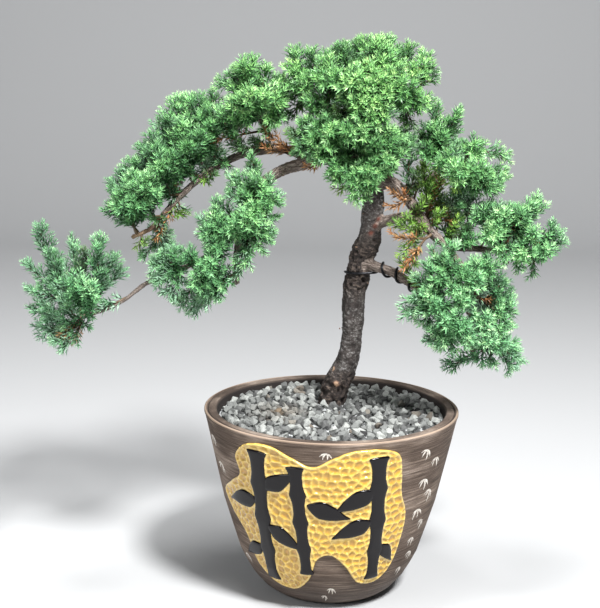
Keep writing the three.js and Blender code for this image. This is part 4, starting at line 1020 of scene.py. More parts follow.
def barkLift(radius, s, ring):
    thick = clamped((radius - 5) / 5)
    broad = noise.noise(Vector((ring.x, ring.y, s / 17)))
    plates = 1 - 2 * abs(noise.noise(Vector((2.1 * ring.x, 2.1 * ring.y, s / 6 + 40))))
    fine = noise.noise(Vector((5 * ring.x, 5 * ring.y, s / 3)))
    strings = noise.noise(Vector((4 * ring.x, 4 * ring.y, s / 22 + 90)))
    on, slim = wood["bark"]["thick"], wood["bark"]["slim"]
    lift = thick * (on["broad"] * broad + on["plates"] * (plates - 0.6) + on["fine"] * fine)
    lift += (1 - thick) * radius * (slim["broad"] * broad + slim["strings"] * strings + slim["fine"] * fine)
    return lift


def scarMarks(trunk):
    marks = []
    for height, share, size, proud, kind in wood["scars"]:
        row = trunk[np.argmin(np.abs(trunk[:, 2] - height))]
        spot = row[:3] + row[3] * np.array([share, -math.sqrt(1 - share * share), 0])
        marks.append((spot, size, proud, kind))
    return marks


def makeWood():
    made, skeleton, flaking = woodMesh(), Skeleton(), wood["flaking"]
    mesh = made.data
    count = len(mesh.vertices)
    place, normal = vectorsOf(mesh.vertices, "co") / mm, vectorsOf(mesh.vertex_normals, "vector")
    grid = np.zeros((count, 3), np.float32)
    girth, darkPatch, pale, red, coarse = (np.zeros(count, np.float32) for _ in range(5))
    marks = scarMarks(skeleton.branch("trunk"))
    tips = [(np.array(end, float), slim, cut) for _, end, _, slim, cut in wood["stubs"]]
    for i, p in enumerate(place):
        radius, s, ring = skeleton.at(p)
        girth[i] = radius
        grid[i] = (ring.x, ring.y, s)
        lift = barkLift(radius, s, ring)
        wander = 6 * noise.noise(Vector(p) / 9)
        zone = max(1 - abs(p[2] + wander - middle) / half for middle, half in flaking["zones"])
        crust = clamped(2.2 * zone) * clamped((radius - 7) / 2)
        if crust > 0:
            flakes = 1 - 2.6 * abs(noise.noise(Vector((p[0], p[1], 0.75 * p[2])) / flaking["size"]))
            lift += crust * flaking["proud"] * (flakes - 0.25)
            darkPatch[i] = crust * clamped(0.92 - 0.6 * flakes)
            coarse[i] = crust
        for spot, size, proud, kind in marks:
            far = np.linalg.norm(p - spot)
            if far < 2 * size:
                bulge = math.exp(-((far / size) ** 2) * 1.6)
                rough = 0.5 * noise.noise(Vector(p) / 2.2)
                lift += bulge * (proud + rough)
                if kind == "red":
                    red[i] = max(red[i], min(1, 1.3 * bulge))
                else:
                    darkPatch[i] = max(darkPatch[i], min(1, bulge * (0.9 + 1.2 * rough)))
        for spot, slim, cut in tips:
            far = np.linalg.norm(p - spot)
            if far < slim * 1.15:
                worn = 0.7 * noise.noise(Vector(p) / 1.6)
                pale[i] = max(pale[i], cut * clamped(2.3 + worn - 2.1 * far / slim))
        place[i] = p + normal[i] * lift
    end, footDark = wood["wornEnd"], wood["footDark"]
    far = np.linalg.norm(place - skeleton.branch(end["branch"])[-1][:3], axis=1)
    pale = np.maximum(pale, end["pale"] * np.clip(1.4 - far / end["reach"], 0, 1) * (girth < end["girth"]))
    # darker towards the foot of the trunk: from top downwards, in full after reach mm
    darkPatch = np.maximum(darkPatch, footDark["dark"] * np.clip((footDark["top"] - place[:, 2]) / footDark["reach"], 0, 1))
    mesh.vertices.foreach_set("co", (place * mm).astype(np.float32).ravel())
    marked = {"girth": girth, "darkPatch": darkPatch, "pale": pale, "red": red, "coarse": coarse}
    addFields(mesh, {"grid": ("FLOAT_VECTOR", grid), **{key: ("FLOAT", values) for key, values in marked.items()}})
    mesh.polygons.foreach_set("use_smooth", [True] * len(mesh.polygons))
    mesh.update()
    addPiece(made, barkLook(), "bark", "trunk")
    print("wood", count, len(mesh.polygons))


# Wire

# Coils as (start and end along the branch as shares, turns, first turn in degrees), with the steps to a turn
wire = {"radius": 1.15, "trunk": (0.478, 0.517, 0.75, 20), "branch": (0.1, 0.7, 6, 270), "steps": 28, "sides": 10}


def coil(name, start, end, turns, phase):
    route = smoothRoute(wood["branches"][name], 1.0)
    ways, _, _ = framesAlong(route)
    length = lengthsAlong(route)
    length /= length[-1]
    out = []
    steps = int(turns * wire["steps"])
    for i in range(steps + 1):
        share = start + (end - start) * i / steps
        row = [float(np.interp(share, length, route[:, k])) for k in range(4)]
        way = ways[int(np.argmin(np.abs(length - share)))]
        side = np.array([1.0, 0, 0]) if abs(way[2]) > 0.9 else np.cross([0, 0, 1.0], way)
        side = side - way * side.dot(way)
        side /= np.linalg.norm(side)
        turn = math.radians(phase) + 2 * math.pi * i / wire["steps"]
        away = math.cos(turn) * side + math.sin(turn) * np.cross(way, side)
        out.append([*(np.array(row[:3]) + (row[3] + wire["radius"] + 0.1) * away), wire["radius"]])
    return out


def makeWire():
    first, second = coil("trunk", *wire["trunk"]), coil("wired_branch", *wire["branch"])
    points, faces = tube(smoothRoute(first[::2] + second[::2], 1.6), wire["sides"])
    made = linkObject("wire_coil", meshOf("wire_coil", points, faces))
    addPiece(made, wireLook(), "wire", "training_wire")
    print("wire", len(faces))


# Foliage

# Whorls stand a step apart along a shoot, and closer in its bud, given as places from the tip back. Kinds have their
# light and dryness as ranges, the pitch of their side shoots, where these start along the lobe, whether they carry
# twigs, and the least length of a shoot; their light is painted light, how brightly lit their needles are painted, and
# the shade kind is painted dark for the inside of the masses. Sprays are (branch, end of the twig, lobes as [x, y, z
# of the tip, half width]). Extras are lobes that only the scene has, as [x, y, z of the tip, half width, kind, start]:
# the kind is green if none is given, and the start is a branch, a place, or the spray's own twig if none is given.
foliage = {
    "needle": {"length": 7.6, "width": 1.9, "keel": 0.5, "lean": 49},
    "step": 3.1,
    "bud": (0, 1.2, 2.8, 5.2),
    "longest": 34,
    "fuller": 1.03,
    "stem": 1.9,
    "kinds": {
        "green": {"light": (0.3, 0.62), "dry": (0, 0), "pitch": 4.3, "start": 0.08, "twigs": True, "least": 10},
        "collar": {"light": (0.22, 0.46), "dry": (0, 0), "pitch": 5.2, "start": 0.1, "twigs": True, "least": 10},
        "shade": {"light": (0.1, 0.24), "dry": (0, 0.12), "pitch": 4.6, "start": 0.08, "twigs": True, "least": 8},
        "olive": {"light": (0.32, 0.6), "dry": (0.04, 0.16), "pitch": 5, "start": 0.1, "twigs": False, "least": 10},
        "dead": {"light": (0.3, 0.6), "dry": (0.8, 1), "pitch": 8.5, "start": 0.15, "twigs": False, "least": 9},
    },
    "dryShare": {"green": 0.03, "collar": 0.16},
    "filler": {"angles": (28, 115), "reach": 0.92, "half": 0.95},
    "between": {"bases": 52, "tips": (16, 46), "angle": 50,
                "apart": (("mid_1", "crown_1"), ("mid_2", "crown_1"), ("mid_4", "crown_1"), ("rise_1", "rise_2")),
                "single": ("rise_2", "right_3")},
    "collar": {"past": 11, "half": 14},
    "sprays": {
        "far_left_1": ("far_left", [-238, -36, 273], [[-263, -34, 346, 13], [-272, -44, 288, 13]]),
        "far_left_2": ("far_left", [-228, -24, 270], [[-239, 4, 330, 11], [-257, 8, 288, 12]]),
        "far_left_3": ("far_left", [-213, -32, 275], [[-206, -36, 337, 14], [-189, -18, 303, 12]]),
        "far_left_4": ("far_left", [-224, -42, 260], [[-243, -46, 235, 15], [-268, -30, 253, 14]]),
        "far_left_5": ("far_left", [-218, -46, 270], [[-233, -76, 304, 17], [-210, -74, 300, 14]]),
        "arch_end": ("left_arch", [-180, -10, 341],
            [[-204, -18, 361, 15], [-203, -6, 381, 14], [-176, -50, 362, 16]]),
        "arch_1": ("left_arch", [-165, -6, 352], [[-184, -6, 401, 15], [-178, -42, 380, 16]]),
        "arch_2": ("left_arch", [-147, -2, 370], [[-164, -2, 426, 15], [-153, -46, 400, 17]]),
        "arch_3": ("left_arch", [-129, 0, 390], [[-143, 2, 458, 17], [-131, -40, 416, 17]]),
        "arch_4": ("left_arch", [-111, 2, 404], [[-122, 4, 459, 14], [-109, -30, 436, 15]]),
        "arch_low": ("left_arch", [-160, 6, 334], [[-165, 14, 287, 11], [-176, 6, 308, 9], [-144, 26, 309, 11]]),
        "arch_back_1": ("left_arch", [-145, 16, 370], [[-182, 56, 394, 20], [-158, 58, 430, 20]]),
        "arch_back_2": ("left_arch", [-118, 18, 391], [[-128, 62, 426, 20], [-112, 64, 394, 16]]),
        "mid_1": ("arch_top", [-74, 2, 458], [[-76, -2, 492, 15], [-95, -4, 480, 15]]),
        "mid_2": ("arch_top", [-64, 0, 446], [[-51, 0, 477, 15], [-53, -36, 458, 14], [-62, -20, 427, 12]]),
        "mid_3": ("arch_top", [-77, -8, 438], [[-93, -38, 454, 18], [-74, -50, 466, 16], [-99, 4, 428, 12]]),
        "mid_4": ("arch_top", [-67, 16, 436], [[-82, 60, 462, 20], [-55, 58, 442, 16]]),
        "crown_1": ("crown_left", [-29, 2, 469], [[-41, 0, 499, 14], [-38, -26, 468, 15]]),
        "crown_2": ("crown_left", [-6, -4, 460], [[-11, -2, 498, 16], [-20, -42, 477, 16]]),
        "crown_3": ("trunk", [23, 0, 486], [[22, 0, 510, 13], [5, 8, 502, 14]]),
        "crown_4": ("crown_right", [40, -3, 468], [[49, -2, 511, 15], [37, -40, 492, 17]]),
        "crown_5": ("crown_right", [74, 0, 470], [[75, 0, 499, 14], [86, -4, 476, 14]]),
        "crown_6": ("crown_right", [58, -8, 460], [[74, -34, 456, 16], [52, -56, 474, 18]]),
        "crown_7": ("trunk", [20, -12, 456], [[12, -60, 480, 18], [32, -62, 457, 17]]),
        "crown_8": ("crown_back", [19, 63, 461], [[15, 86, 488, 18], [-9, 74, 477, 18], [45, 74, 484, 18]]),
        "crown_9": ("crown_back", [25, 48, 432], [[59, 76, 452, 20], [-9, 78, 440, 20]]),
        "front_1": ("left_limb", [-2, -10, 417],
            [[-33, -38, 439, 16], [-36, -40, 417, 13], [-8, -58, 434, 16], [-17, -48, 406, 11]]),
        "front_2": ("trunk", [23, -8, 417], [[22, -62, 437, 16], [46, -50, 436, 15]]),
        "front_3": ("left_limb", [18, -11, 399], [[11, -54, 391, 15], [32, -50, 384, 14]]),
        "front_4": ("right_limb", [44, -5, 393], [[62, -28, 419, 14], [43, -56, 409, 14]]),
        "rise_1": ("right_rise", [94, 12, 403], [[91, 12, 453, 13], [109, 6, 438, 14], [80, -20, 410, 13]]),
        "rise_2": ("right_rise", [118, 10, 408], [[126, 4, 422, 11], [157, 6, 404, 12]]),
        "rise_3": ("right_rise", [121, 1, 390], [[149, -4, 377, 14], [132, -34, 398, 15], [100, -42, 400, 15]]),
        "rise_4": ("right_rise", [111, 26, 392], [[131, 66, 408, 18], [104, 60, 417, 16]]),
        "right_1": ("right_limb", [149, -7, 334], [[138, -8, 366, 14], [122, -28, 361, 14], [148, -40, 318, 14]]),
        "right_2": ("right_limb", [167, -2, 336], [[184, -2, 373, 12], [164, -32, 361, 14]]),
        "right_3": ("right_limb", [178, -3, 324], [[208, -6, 333, 12], [185, -36, 326, 13], [178, -12, 301, 8]]),
        "right_4": ("right_limb", [157, 22, 326], [[182, 62, 338, 16], [150, 60, 332, 16]]),
        "low_1": ("right_arm", [99, -32, 309], [[84, -38, 334, 8], [102, -58, 320, 14]]),
        "low_2": ("right_arm", [121, -31, 298], [[139, -26, 316, 15], [122, -64, 306, 16]]),
        "low_3": ("wired_branch", [91, -26, 280], [[59, -36, 281, 9], [83, -56, 292, 13], [77, -38, 258, 12]]),
        "low_4": ("wired_branch", [106, -30, 259], [[97, -68, 274, 16], [118, -68, 254, 15], [96, -38, 236, 12]]),
        "low_5": ("right_arm", [133, -20, 281], [[162, -20, 285, 13], [149, -46, 272, 15]]),
        "low_6": ("wired_branch", [136, -24, 241], [[171, -24, 223, 11], [148, -54, 246, 15]]),
        "low_7": ("right_arm", [134, 12, 275], [[159, 54, 276, 18], [123, 52, 266, 18], [145, 50, 238, 18]]),
        "inner_1": ("left_limb", [-69, -29, 371],
            [[-76, -28, 399, 11], [-97, -38, 375, 14], [-49, -30, 372, 12], [-63, -60, 367, 14]]),
        "inner_2": ("left_limb", [-78, -33, 345], [[-55, -36, 335, 11], [-78, -72, 358, 16]]),
        "inner_3": ("far_left", [-100, -31, 336], [[-110, -26, 361, 7], [-93, -62, 342, 15], [-121, -34, 341, 14]]),
        "inner_4": ("far_left", [-139, -35, 309], [[-164, -32, 312, 12], [-144, -44, 326, 13], [-149, -38, 282, 12]]),
        "inner_5": ("far_left", [-113, -33, 309], [[-108, -70, 321, 16], [-124, -64, 298, 15]]),
        "inner_6": ("left_limb", [-94, -34, 302], [[-125, -38, 266, 10], [-102, -58, 290, 14]]),
        "inner_7": ("left_limb", [-81, 8, 338], [[-67, 48, 340, 18], [-97, 52, 339, 18], [-119, 46, 312, 16]]),
        "dead_1": ("right_arm", [80, -26, 337], [[47, -32, 341, 7], [62, -36, 310, 7]]),
        "dead_2": ("right_limb", [67, -10, 370], [[46, -24, 378, 7], [45, -26, 362, 6]]),
    },
    "extras": {
        "arch_4": [[-110, -5, 462, 13], [-96, -14, 430, 11, "green", "left_arch"]],
        "arch_3": [[-118, -12, 418, 12, "green", "left_arch"]],
        "arch_2": [[-138, -16, 398, 13, "green", "left_arch"]],
        "arch_1": [[-156, -18, 378, 13, "green", "left_arch"]],
        "arch_end": [[-172, -20, 358, 12, "green", "left_arch"], [-192, -14, 346, 12]],
        "arch_low": [
            [-155, -14, 346, 10, "shade", "left_arch"], [-137, -12, 350, 9, "olive", "left_arch"],
            [-146, -18, 324, 11, "green", (-128, -26, 311)], [-134, -24, 312, 11, "green", (-118, -24, 316)],
            [-152, -8, 332, 8, "shade", "left_arch"], [-135, 0, 355, 8, "shade", "left_arch"],
            [-172, -12, 322, 9, "olive", "left_arch"], [-160, -10, 330, 7, "dead", (-145, -1, 362)],
        ],
        "arch_back_2": [
            [-110, -12, 386, 10, "shade", "left_arch"], [-100, -6, 399, 11, "green", "left_arch"],
            [-116, -6, 380, 8, "olive", "left_arch"], [-97, 6, 394, 8, "shade", "left_arch"],
        ],
        "mid_1": [[-84, -30, 486, 14], [-108, -4, 470, 13]],
        "mid_2": [
            [-40, -4, 466, 13], [-44, -6, 440, 10, "shade"], [-66, -18, 430, 9, "dead", (-30, -5, 403)],
            [-66, -14, 414, 8, "dead", (-40, -4, 408)], [-42, -14, 426, 9, "olive", (-24, -4, 403)],
        ],
        "mid_3": [
            [-122, -12, 418, 9, "dead", (-66, 0, 428)], [-106, -6, 432, 9, "olive"],
            [-90, -12, 412, 9, "shade", (-58, 0, 416)], [-76, -8, 419, 10, "shade", (-52, 2, 414)],
        ],
        "inner_1": [[-60, -44, 356, 12], [-95, -32, 391, 13], [-76, -34, 408, 11, "green", (-66, -16, 382)]],
        "inner_2": [[-64, -50, 327, 12], [-80, -54, 312, 12], [-88, -50, 301, 10]],
        "inner_3": [[-106, -34, 370, 12], [-120, -36, 354, 12], [-112, -46, 330, 12]],
        "inner_4": [[-160, -36, 292, 11], [-136, -42, 306, 12], [-138, -38, 278, 12], [-146, -40, 300, 12]],
        "inner_6": [[-118, -36, 278, 12], [-131, -38, 268, 10]],
        "far_left_1": [[-252, -40, 322, 12]],
        "far_left_2": [[-224, -20, 322, 12, "shade"]],
        "far_left_3": [[-208, -34, 270, 11, "green", (-186, -30, 280)]],
        "far_left_4": [[-262, -38, 268, 13], [-243, -46, 284, 13]],
        "crown_1": [[-34, -10, 452, 13, "shade"], [-44, -8, 440, 11, "shade", (-24, 2, 462)]],
        "crown_2": [[-26, -6, 446, 12, "shade"]],
        "crown_4": [[62, -2, 502, 14], [32, -34, 507, 14]],
        "crown_5": [[62, -30, 484, 14]],
        "crown_6": [[66, -20, 435, 13, "shade"], [82, -22, 458, 13]],
        "crown_7": [[2, -44, 462, 14], [-4, -40, 446, 13, "shade"]],
        "front_1": [
            [-26, -30, 396, 8, "dead", (-8, -4, 408)], [-20, -36, 404, 13], [-4, -38, 408, 14],
            [-44, -34, 428, 12, "shade"], [-38, -32, 410, 12],
        ],
        "front_2": [[4, -32, 412, 13], [44, -36, 430, 13]],
        "front_3": [
            [-8, -42, 394, 13], [-3, -44, 389, 13], [13, -46, 374, 12], [2, -20, 376, 9, "olive"], [24, -38, 372, 12],
        ],
        "front_4": [[64, -16, 436, 13, "shade"], [70, -12, 424, 12]],
        "rise_1": [
            [112, 2, 449, 12], [78, -8, 402, 13, "olive", (84, -2, 347)], [92, -8, 396, 13, "olive", (92, -3, 336)],
            [74, 0, 428, 12, "shade"], [74, -6, 412, 12], [88, 4, 384, 11, "olive", (84, -2, 347)], [92, 0, 422, 12],
            [66, -6, 416, 11, "green", (64, 2, 380)],
        ],
        "rise_2": [
            [126, -20, 410, 12], [96, 8, 388, 12, "olive", "right_rise"], [112, -4, 392, 12, "olive", "right_rise"],
        ],
        "rise_3": [
            [101, -14, 383, 13, "olive"], [124, -18, 384, 13], [106, -12, 378, 14, "shade", (100, -3, 331)],
            [150, -10, 388, 12],
        ],
        "right_1": [
            [122, -10, 374, 14, "shade", (116, -3, 326)], [110, -16, 352, 13, "olive", (98, -3, 331)],
            [140, -12, 350, 13, "green", (132, -3, 325)], [118, -22, 346, 12, "shade", (110, -3, 327)],
            [96, -12, 358, 11, "olive", (86, -3, 342)], [114, -10, 380, 13, "green", (104, -3, 328)],
            [104, -16, 336, 11, "olive", (96, -3, 332)], [120, -28, 336, 12, "green", (112, -3, 326)],
        ],
        "right_2": [[190, -4, 366, 12], [156, -10, 362, 12]],
        "right_3": [
            [196, -12, 350, 13], [168, -12, 313, 10, "olive"], [170, -14, 346, 13, "green", (160, 0, 324)],
            [162, -18, 334, 12],
        ],
        "low_1": [[90, -44, 316, 12], [108, -34, 336, 12], [76, -26, 346, 9, "olive", (66, -4, 353)]],
        "low_2": [[122, -46, 322, 13]],
        "low_3": [[70, -36, 304, 11], [80, -40, 318, 11], [60, -38, 268, 11]],
        "low_4": [[84, -48, 246, 13]],
        "low_5": [[160, -30, 258, 13], [150, -30, 300, 12]],
        "low_6": [
            [142, -36, 221, 12], [164, -28, 216, 12], [122, -36, 226, 12], [166, -26, 240, 13],
            [104, -38, 222, 11, "green", (126, -23, 232)],
        ],
        "dead_1": [
            [80, -18, 370, 11, "olive", (70, -8, 352)], [58, -18, 352, 9, "olive", (72, -8, 352)],
            [52, -14, 347, 11, "olive", (92, -20, 338)], [58, -18, 316, 10, "olive", (88, -14, 276)],
            [92, -22, 360, 10, "olive", (84, -17, 345)], [68, -20, 312, 9, "olive"],
            [60, -26, 322, 9, "olive", (80, -16, 348)],
        ],
        "dead_2": [
            [79, -6, 402, 12, "olive", (70, -2, 366)], [86, -14, 384, 12, "olive", (78, -3, 354)],
            [94, -12, 392, 9, "dead", (80, -3, 350)], [70, -10, 392, 11, "shade", (66, 0, 368)],
            [104, -12, 352, 9, "dead", (80, -3, 350)], [100, 2, 366, 13, "shade", (82, -3, 350)],
        ],
    },
}


def whorlShape():
    needle = foliage["needle"]
    lean, length = math.radians(needle["lean"]), needle["length"]
    out = Vector((math.sin(lean), 0, math.cos(lean)))
    below = Vector((math.cos(lean), 0, -math.sin(lean)))
    wing = Vector((0, needle["width"] / 2, 0))
    base = Vector((0.35, 0, -0.3))
    middle = base + 0.36 * length * out
    rows = [base, middle + wing, middle - wing, middle + needle["keel"] * below, base + length * out - 0.3 * below]
    points, faces = [], []
    for k in range(3):
        spin = Matrix.Rotation(2 * math.pi * k / 3, 3, "Z")
        first = len(points)
        points += [spin @ p for p in rows]
        faces += [tuple(first + i for i in face) for face in ((0, 3, 1), (0, 2, 3), (3, 4, 1), (3, 2, 4))]
    # reach runs from needle base to tip and paints the tips paler as light
    fields = {"reach": ("FLOAT", [0, 0.4, 0.4, 0.4, 1] * 3), "third": ("FLOAT", [0] * 5 + [0.37] * 5 + [0.74] * 5)}
    return bpy.data.objects.new("whorl", meshOf("whorl", points, faces, fields, smooth=False))


# Gathers a spray's whorls and twigs; height sets how blue its needles are, and height and side set their painted light
class Growth:
    def __init__(self, base, draw):
        self.draw = draw
        self.cool = min(0.9, max(0.1, 0.8 - (base.z - 270) / 330))
        # tips painted paler: partly the young needles' paler colour, partly painted light, more of it towards the
        # crown
        self.glow = 0.24 + 0.1 * clamped((base.z - 380) / 100)
        # painted light: needles darker on the left, away from the key lamp, and darker higher up
        self.lit = 0.9 + 0.22 * clamped((base.x + 150) / 260) - 0.16 * clamped((base.z - 350) / 90)
        self.olive = False
        self.places, self.turns, self.sizes, self.looks, self.odd = [], [], [], [], []
        self.twigs = []

    def whorl(self, place, way, far, shade, dry):
        draw = self.draw
        way = (way + 0.04 * Vector([draw.gauss(0, 1) for _ in range(3)])).normalized()
        spin = Quaternion(way, len(self.places) * math.pi / 3 + draw.uniform(-0.3, 0.3))
        self.turns.append(tuple(spin @ way.to_track_quat("Z", "X")))
        young = min(1, far / 5.5)
        wide = (0.24 + 0.76 * young ** 0.9) * draw.uniform(0.92, 1.08)
        tall = (0.5 + 0.5 * young) * draw.uniform(0.92, 1.08)
        self.places.append(tuple(place))
        self.sizes.append((wide, wide, tall))
        # tone adds the paler tips to the shade given, and carries the painted light
        tone = shade + self.glow * math.exp(-((far / 8) ** 1.5)) + draw.uniform(-0.04, 0.04)
        cool = (0 if self.olive else self.cool) + draw.uniform(-0.2, 0.2)
        self.looks.append((clamped(tone), clamped(cool), dry, 1 if self.olive else 0))
        self.odd.append(draw.random())

    def shoot(self, path, shade, bare, dry, thick):
        lengths = [0]
        for a, b in zip(path, path[1:]):
            lengths.append(lengths[-1] + (b - a).length)
        total, bud, step = lengths[-1], foliage["bud"], foliage["step"]
        count = max(0, math.floor((total * (1 - bare) - bud[-1]) / step))
        for far in [*bud, *(bud[-1] + step * (i + 1) for i in range(count))]:
            s = total - far
            if s < 0:
                continue
            k = max(i for i in range(len(path) - 1) if lengths[i] <= s + 1e-6)
            t = (s - lengths[k]) / max(1e-6, lengths[k + 1] - lengths[k])
            place = path[k].lerp(path[k + 1], min(1, t))
            # painted shade: whorls nearer the shoot's base are darker, as the inside of the mass
            self.whorl(place, (path[k + 1] - path[k]).normalized(), far, shade * (0.2 + 0.8 * s / total), dry)
        rows = [path[0], path[len(path) // 2], path[-1]] if len(path) > 3 else path
        route = [[*p, thick * (1 - 0.65 * i / (len(rows) - 1))] for i, p in enumerate(rows)]
        self.twigs.append((route, -1.0 if thick > 1 else -0.45, (0.6 * shade, self.cool, dry, 0)))


def bentPath(start, way, goal, length, bend):
    steps = max(3, round(length / 4))
    path, place, way = [start.copy()], start.copy(), way.normalized()
    for _ in range(steps):
        way = (way + goal * bend / steps).normalized()
        place = place + way * (length / steps)
        path.append(place)
    return path


def rightAngle(way):
    side = Vector((1, 0, 0)) if abs(way.z) > 0.8 else Vector((0, 0, 1))
    return (side - way * side.dot(way)).normalized()


def arc(start, control, end, shares):
    return [start * (1 - t) ** 2 + control * 2 * t * (1 - t) + end * t * t for t in shares]


def growLobe(growth, base, stemWay, lobe, kind):
    draw, manner = growth.draw, foliage["kinds"][kind]
    growth.olive = kind == "olive"
    tip, half = Vector(lobe[:3]), lobe[3] * foliage["fuller"]
    run = tip - base
    length = run.length
    control = base + 0.4 * length * (0.5 * stemWay + 0.5 * run.normalized()).normalized()
    count = max(5, round(length / 4))
    axis = arc(base, control, tip, [i / count for i in range(count + 1)])
    axis[-1] = tip - run.normalized() * 4
    light = growth.lit * draw.uniform(*manner["light"])
    growth.shoot(axis, light, 0.22, draw.uniform(*manner["dry"]), 1.2)
    shoots = max(3, round(length / manner["pitch"]))
    first = draw.uniform(0, 2 * math.pi)
    for k in range(shoots):
        s = manner["start"] + (0.94 - manner["start"]) * (k + 0.5) / shoots
        spot = s * (len(axis) - 1)
        i = min(len(axis) - 2, int(spot))
        start = axis[i].lerp(axis[i + 1], spot - i)
        way = (axis[i + 1] - axis[i]).normalized()
        side = rightAngle(way)
        turn = first + k * goldenTurn
        out = math.cos(turn) * side + math.sin(turn) * way.cross(side)
        opening = math.radians(46 - 24 * s + draw.uniform(-6, 6))
        profile = math.sqrt(max(0.4, 1 - (1.7 * s - 0.8) ** 2))
        reach = half * profile * draw.uniform(0.85, 1.1) - 3
        size = min(foliage["longest"], reach / math.sin(opening), ((1 - s) * length + 3) / math.cos(opening))
        size = max(manner["least"], size)
        heading = math.cos(opening) * way + math.sin(opening) * out
        path = bentPath(start, heading, 0.45 * way + 0.75 * upward, size, 0.7)
        dry = draw.uniform(*manner["dry"])
        if s < 0.3 and draw.random() < foliage["dryShare"].get(kind, 0):
            dry = draw.uniform(0.7, 1)
        # painted shade: side shoots nearer the lobe's base are darker
        shade = light * draw.uniform(0.7, 1.35) * (0.65 + 0.35 * s)
        growth.shoot(path, shade, 0.12, dry, 0.65)
        if manner["twigs"] and size >= 11:
            growTwigs(growth, path, first + 2 * k, size, shade, dry)


def growTwigs(growth, path, spin, size, shade, dry):
    for n in range(2 if size > 17 else 1):
        j = min(len(path) - 2, max(1, int((0.3 + 0.2 * n) * (len(path) - 1))))
        stem = (path[j + 1] - path[j]).normalized()
        across = rightAngle(stem)
        turn = spin + math.pi * n
        away = math.cos(turn) * across + math.sin(turn) * stem.cross(across)
        length = growth.draw.uniform(0.5, 0.68) * size
        twig = bentPath(path[j], 0.8 * stem + 0.6 * away, 0.7 * stem + 0.4 * upward, length, 0.4)
        growth.shoot(twig, shade * growth.draw.uniform(0.85, 1.15), 0.2, dry, 0.45)


# Lobes that fill the room between the stated ones of a spray
def fillers(base, lobes):
    filler, out = foliage["filler"], []
    least, most = (math.radians(angle) for angle in filler["angles"])
    for i, one in enumerate(lobes):
        for two in lobes[i + 1:]:
            a, b = Vector(one[:3]) - base, Vector(two[:3]) - base
            if least <= a.angle(b) <= most:
                middle = (a.normalized() + b.normalized()).normalized()
                reach = 0.5 * (a.length + b.length) * filler["reach"]
                out.append([*(base + middle * reach), 0.5 * (one[3] + two[3]) * filler["half"]])
    return out


# Lobes between those of this spray and of the sprays after it in the table
def betweenSprays(name):
    rule, half = foliage["between"], foliage["filler"]["half"]
    names = [n for n in foliage["sprays"] if not n.startswith("dead")]
    base = Vector(foliage["sprays"][name][1])
    least, most = rule["tips"]
    out = []
    for other in names[names.index(name) + 1:]:
        far = Vector(foliage["sprays"][other][1])
        if (far - base).length > rule["bases"] or (name, other) in rule["apart"]:
            continue
        for one in foliage["sprays"][name][2]:
            for two in foliage["sprays"][other][2]:
                a, b = Vector(one[:3]), Vector(two[:3])
                if least < (a - b).length < most and (a - base).angle(b - far) < math.radians(rule["angle"]):
                    out.append((base.lerp(far, 0.5), [*a.lerp(b, 0.5), 0.5 * (one[3] + two[3]) * half]))
    return out


# Where a twig to this place leaves its branch, the branch's way there and its radius
def stemRoute(name, base):
    route = smoothRoute(wood["branches"][name], 1.0)
    far = np.linalg.norm(route[:, :3] - np.array(base), axis=1)
    k = int(np.argmin(far))
    if k < len(route) - 2:
        k = max(1, k - int(0.3 * far[k]))
    foot = Vector(route[k, :3])
    way = Vector(route[min(k + 1, len(route) - 1), :3] - route[max(k - 1, 0), :3]).normalized()
    return foot, way, float(route[k, 3])


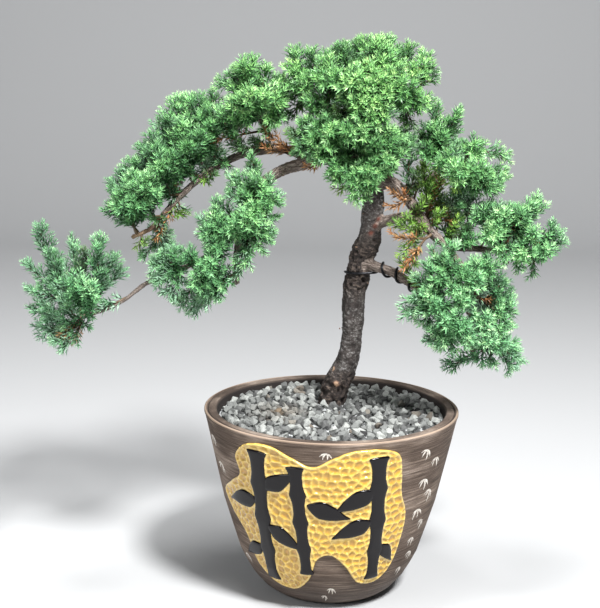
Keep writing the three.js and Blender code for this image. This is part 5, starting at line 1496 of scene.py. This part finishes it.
def growSpray(name, branch, base, lobes):
    base, dead = Vector(base), name.startswith("dead")
    growth = Growth(base, random.Random(name))
    foot, way, girth = stemRoute(branch, base)
    stem = arc(foot, foot + 0.45 * (base - foot).length * way, base, (0, 0.2, 0.4, 0.6, 0.8, 1))
    thick = min(foliage["stem"], girth)
    growth.twigs.append(([[*p, thick * (1 - 0.3 * i / 5)] for i, p in enumerate(stem)], -1.0, (0.3, 0.5, 0, 0)))
    stemWay = (stem[-1] - stem[-2]).normalized()
    for lobe in lobes if dead or name in foliage["between"]["single"] else lobes + fillers(base, lobes):
        growLobe(growth, base, stemWay, lobe, "dead" if dead else "green")
    if not dead:
        past = base + foliage["collar"]["past"] * stemWay
        growLobe(growth, foot.lerp(base, 0.3), way, [*past, foliage["collar"]["half"]], "collar")
        for start, lobe in betweenSprays(name):
            growLobe(growth, start, (Vector(lobe[:3]) - start).normalized(), lobe, "green")
    for x, y, z, half, *more in foliage["extras"].get(name, []):
        kind, source = (*more, *("green", None)[len(more):])
        start, along = base, stemWay
        if isinstance(source, str):
            start, along, _ = stemRoute(source, Vector((x, y, z)))
        elif source:
            start = Vector(source)
            along = (Vector((x, y, z)) - start).normalized()
        growLobe(growth, start, along, [x, y, z, half], kind)
    return growth


def makeSpray(name, spray, whorl, look):
    growth = growSpray(name, *spray)
    parts = [tube(route, 5 if route[0][3] > 1 else 3) for route, _, _ in growth.twigs]
    points, faces = gathered(parts)
    leaves, blank = len(growth.places), len(points)
    woods, tones = [], []
    for (some, _), (_, woody, tone) in zip(parts, growth.twigs):
        woods += [woody] * len(some)
        tones += [tone] * len(some)
    mesh = meshOf(name, points + growth.places, faces, {
        "turn": ("QUATERNION", [(1, 0, 0, 0)] * blank + growth.turns),
        "size": ("FLOAT_VECTOR", [(0, 0, 0)] * blank + growth.sizes),
        "look": ("FLOAT_COLOR", tones + growth.looks),
        "odd": ("FLOAT", [0.5] * blank + growth.odd),
        "reach": ("FLOAT", woods + [-1.0] * leaves),
    })
    made = linkObject("foliage_" + name, mesh)
    scatter(made, [whorl])
    dead = name.startswith("dead")
    addPiece(made, look, "dead_needles" if dead else "needles", name if dead else "spray_" + name)
    return leaves, len(made.data.polygons)


def makeFoliage():
    whorl, look = whorlShape(), needleLook()
    counts = [makeSpray(name, spray, whorl, look) for name, spray in foliage["sprays"].items()]
    bpy.data.objects.remove(whorl)
    print("foliage", *(sum(column) for column in zip(*counts)))


makeStage()
makePot()
makeTufts()
makeGravel()
makeWood()
makeWire()
makeFoliage()
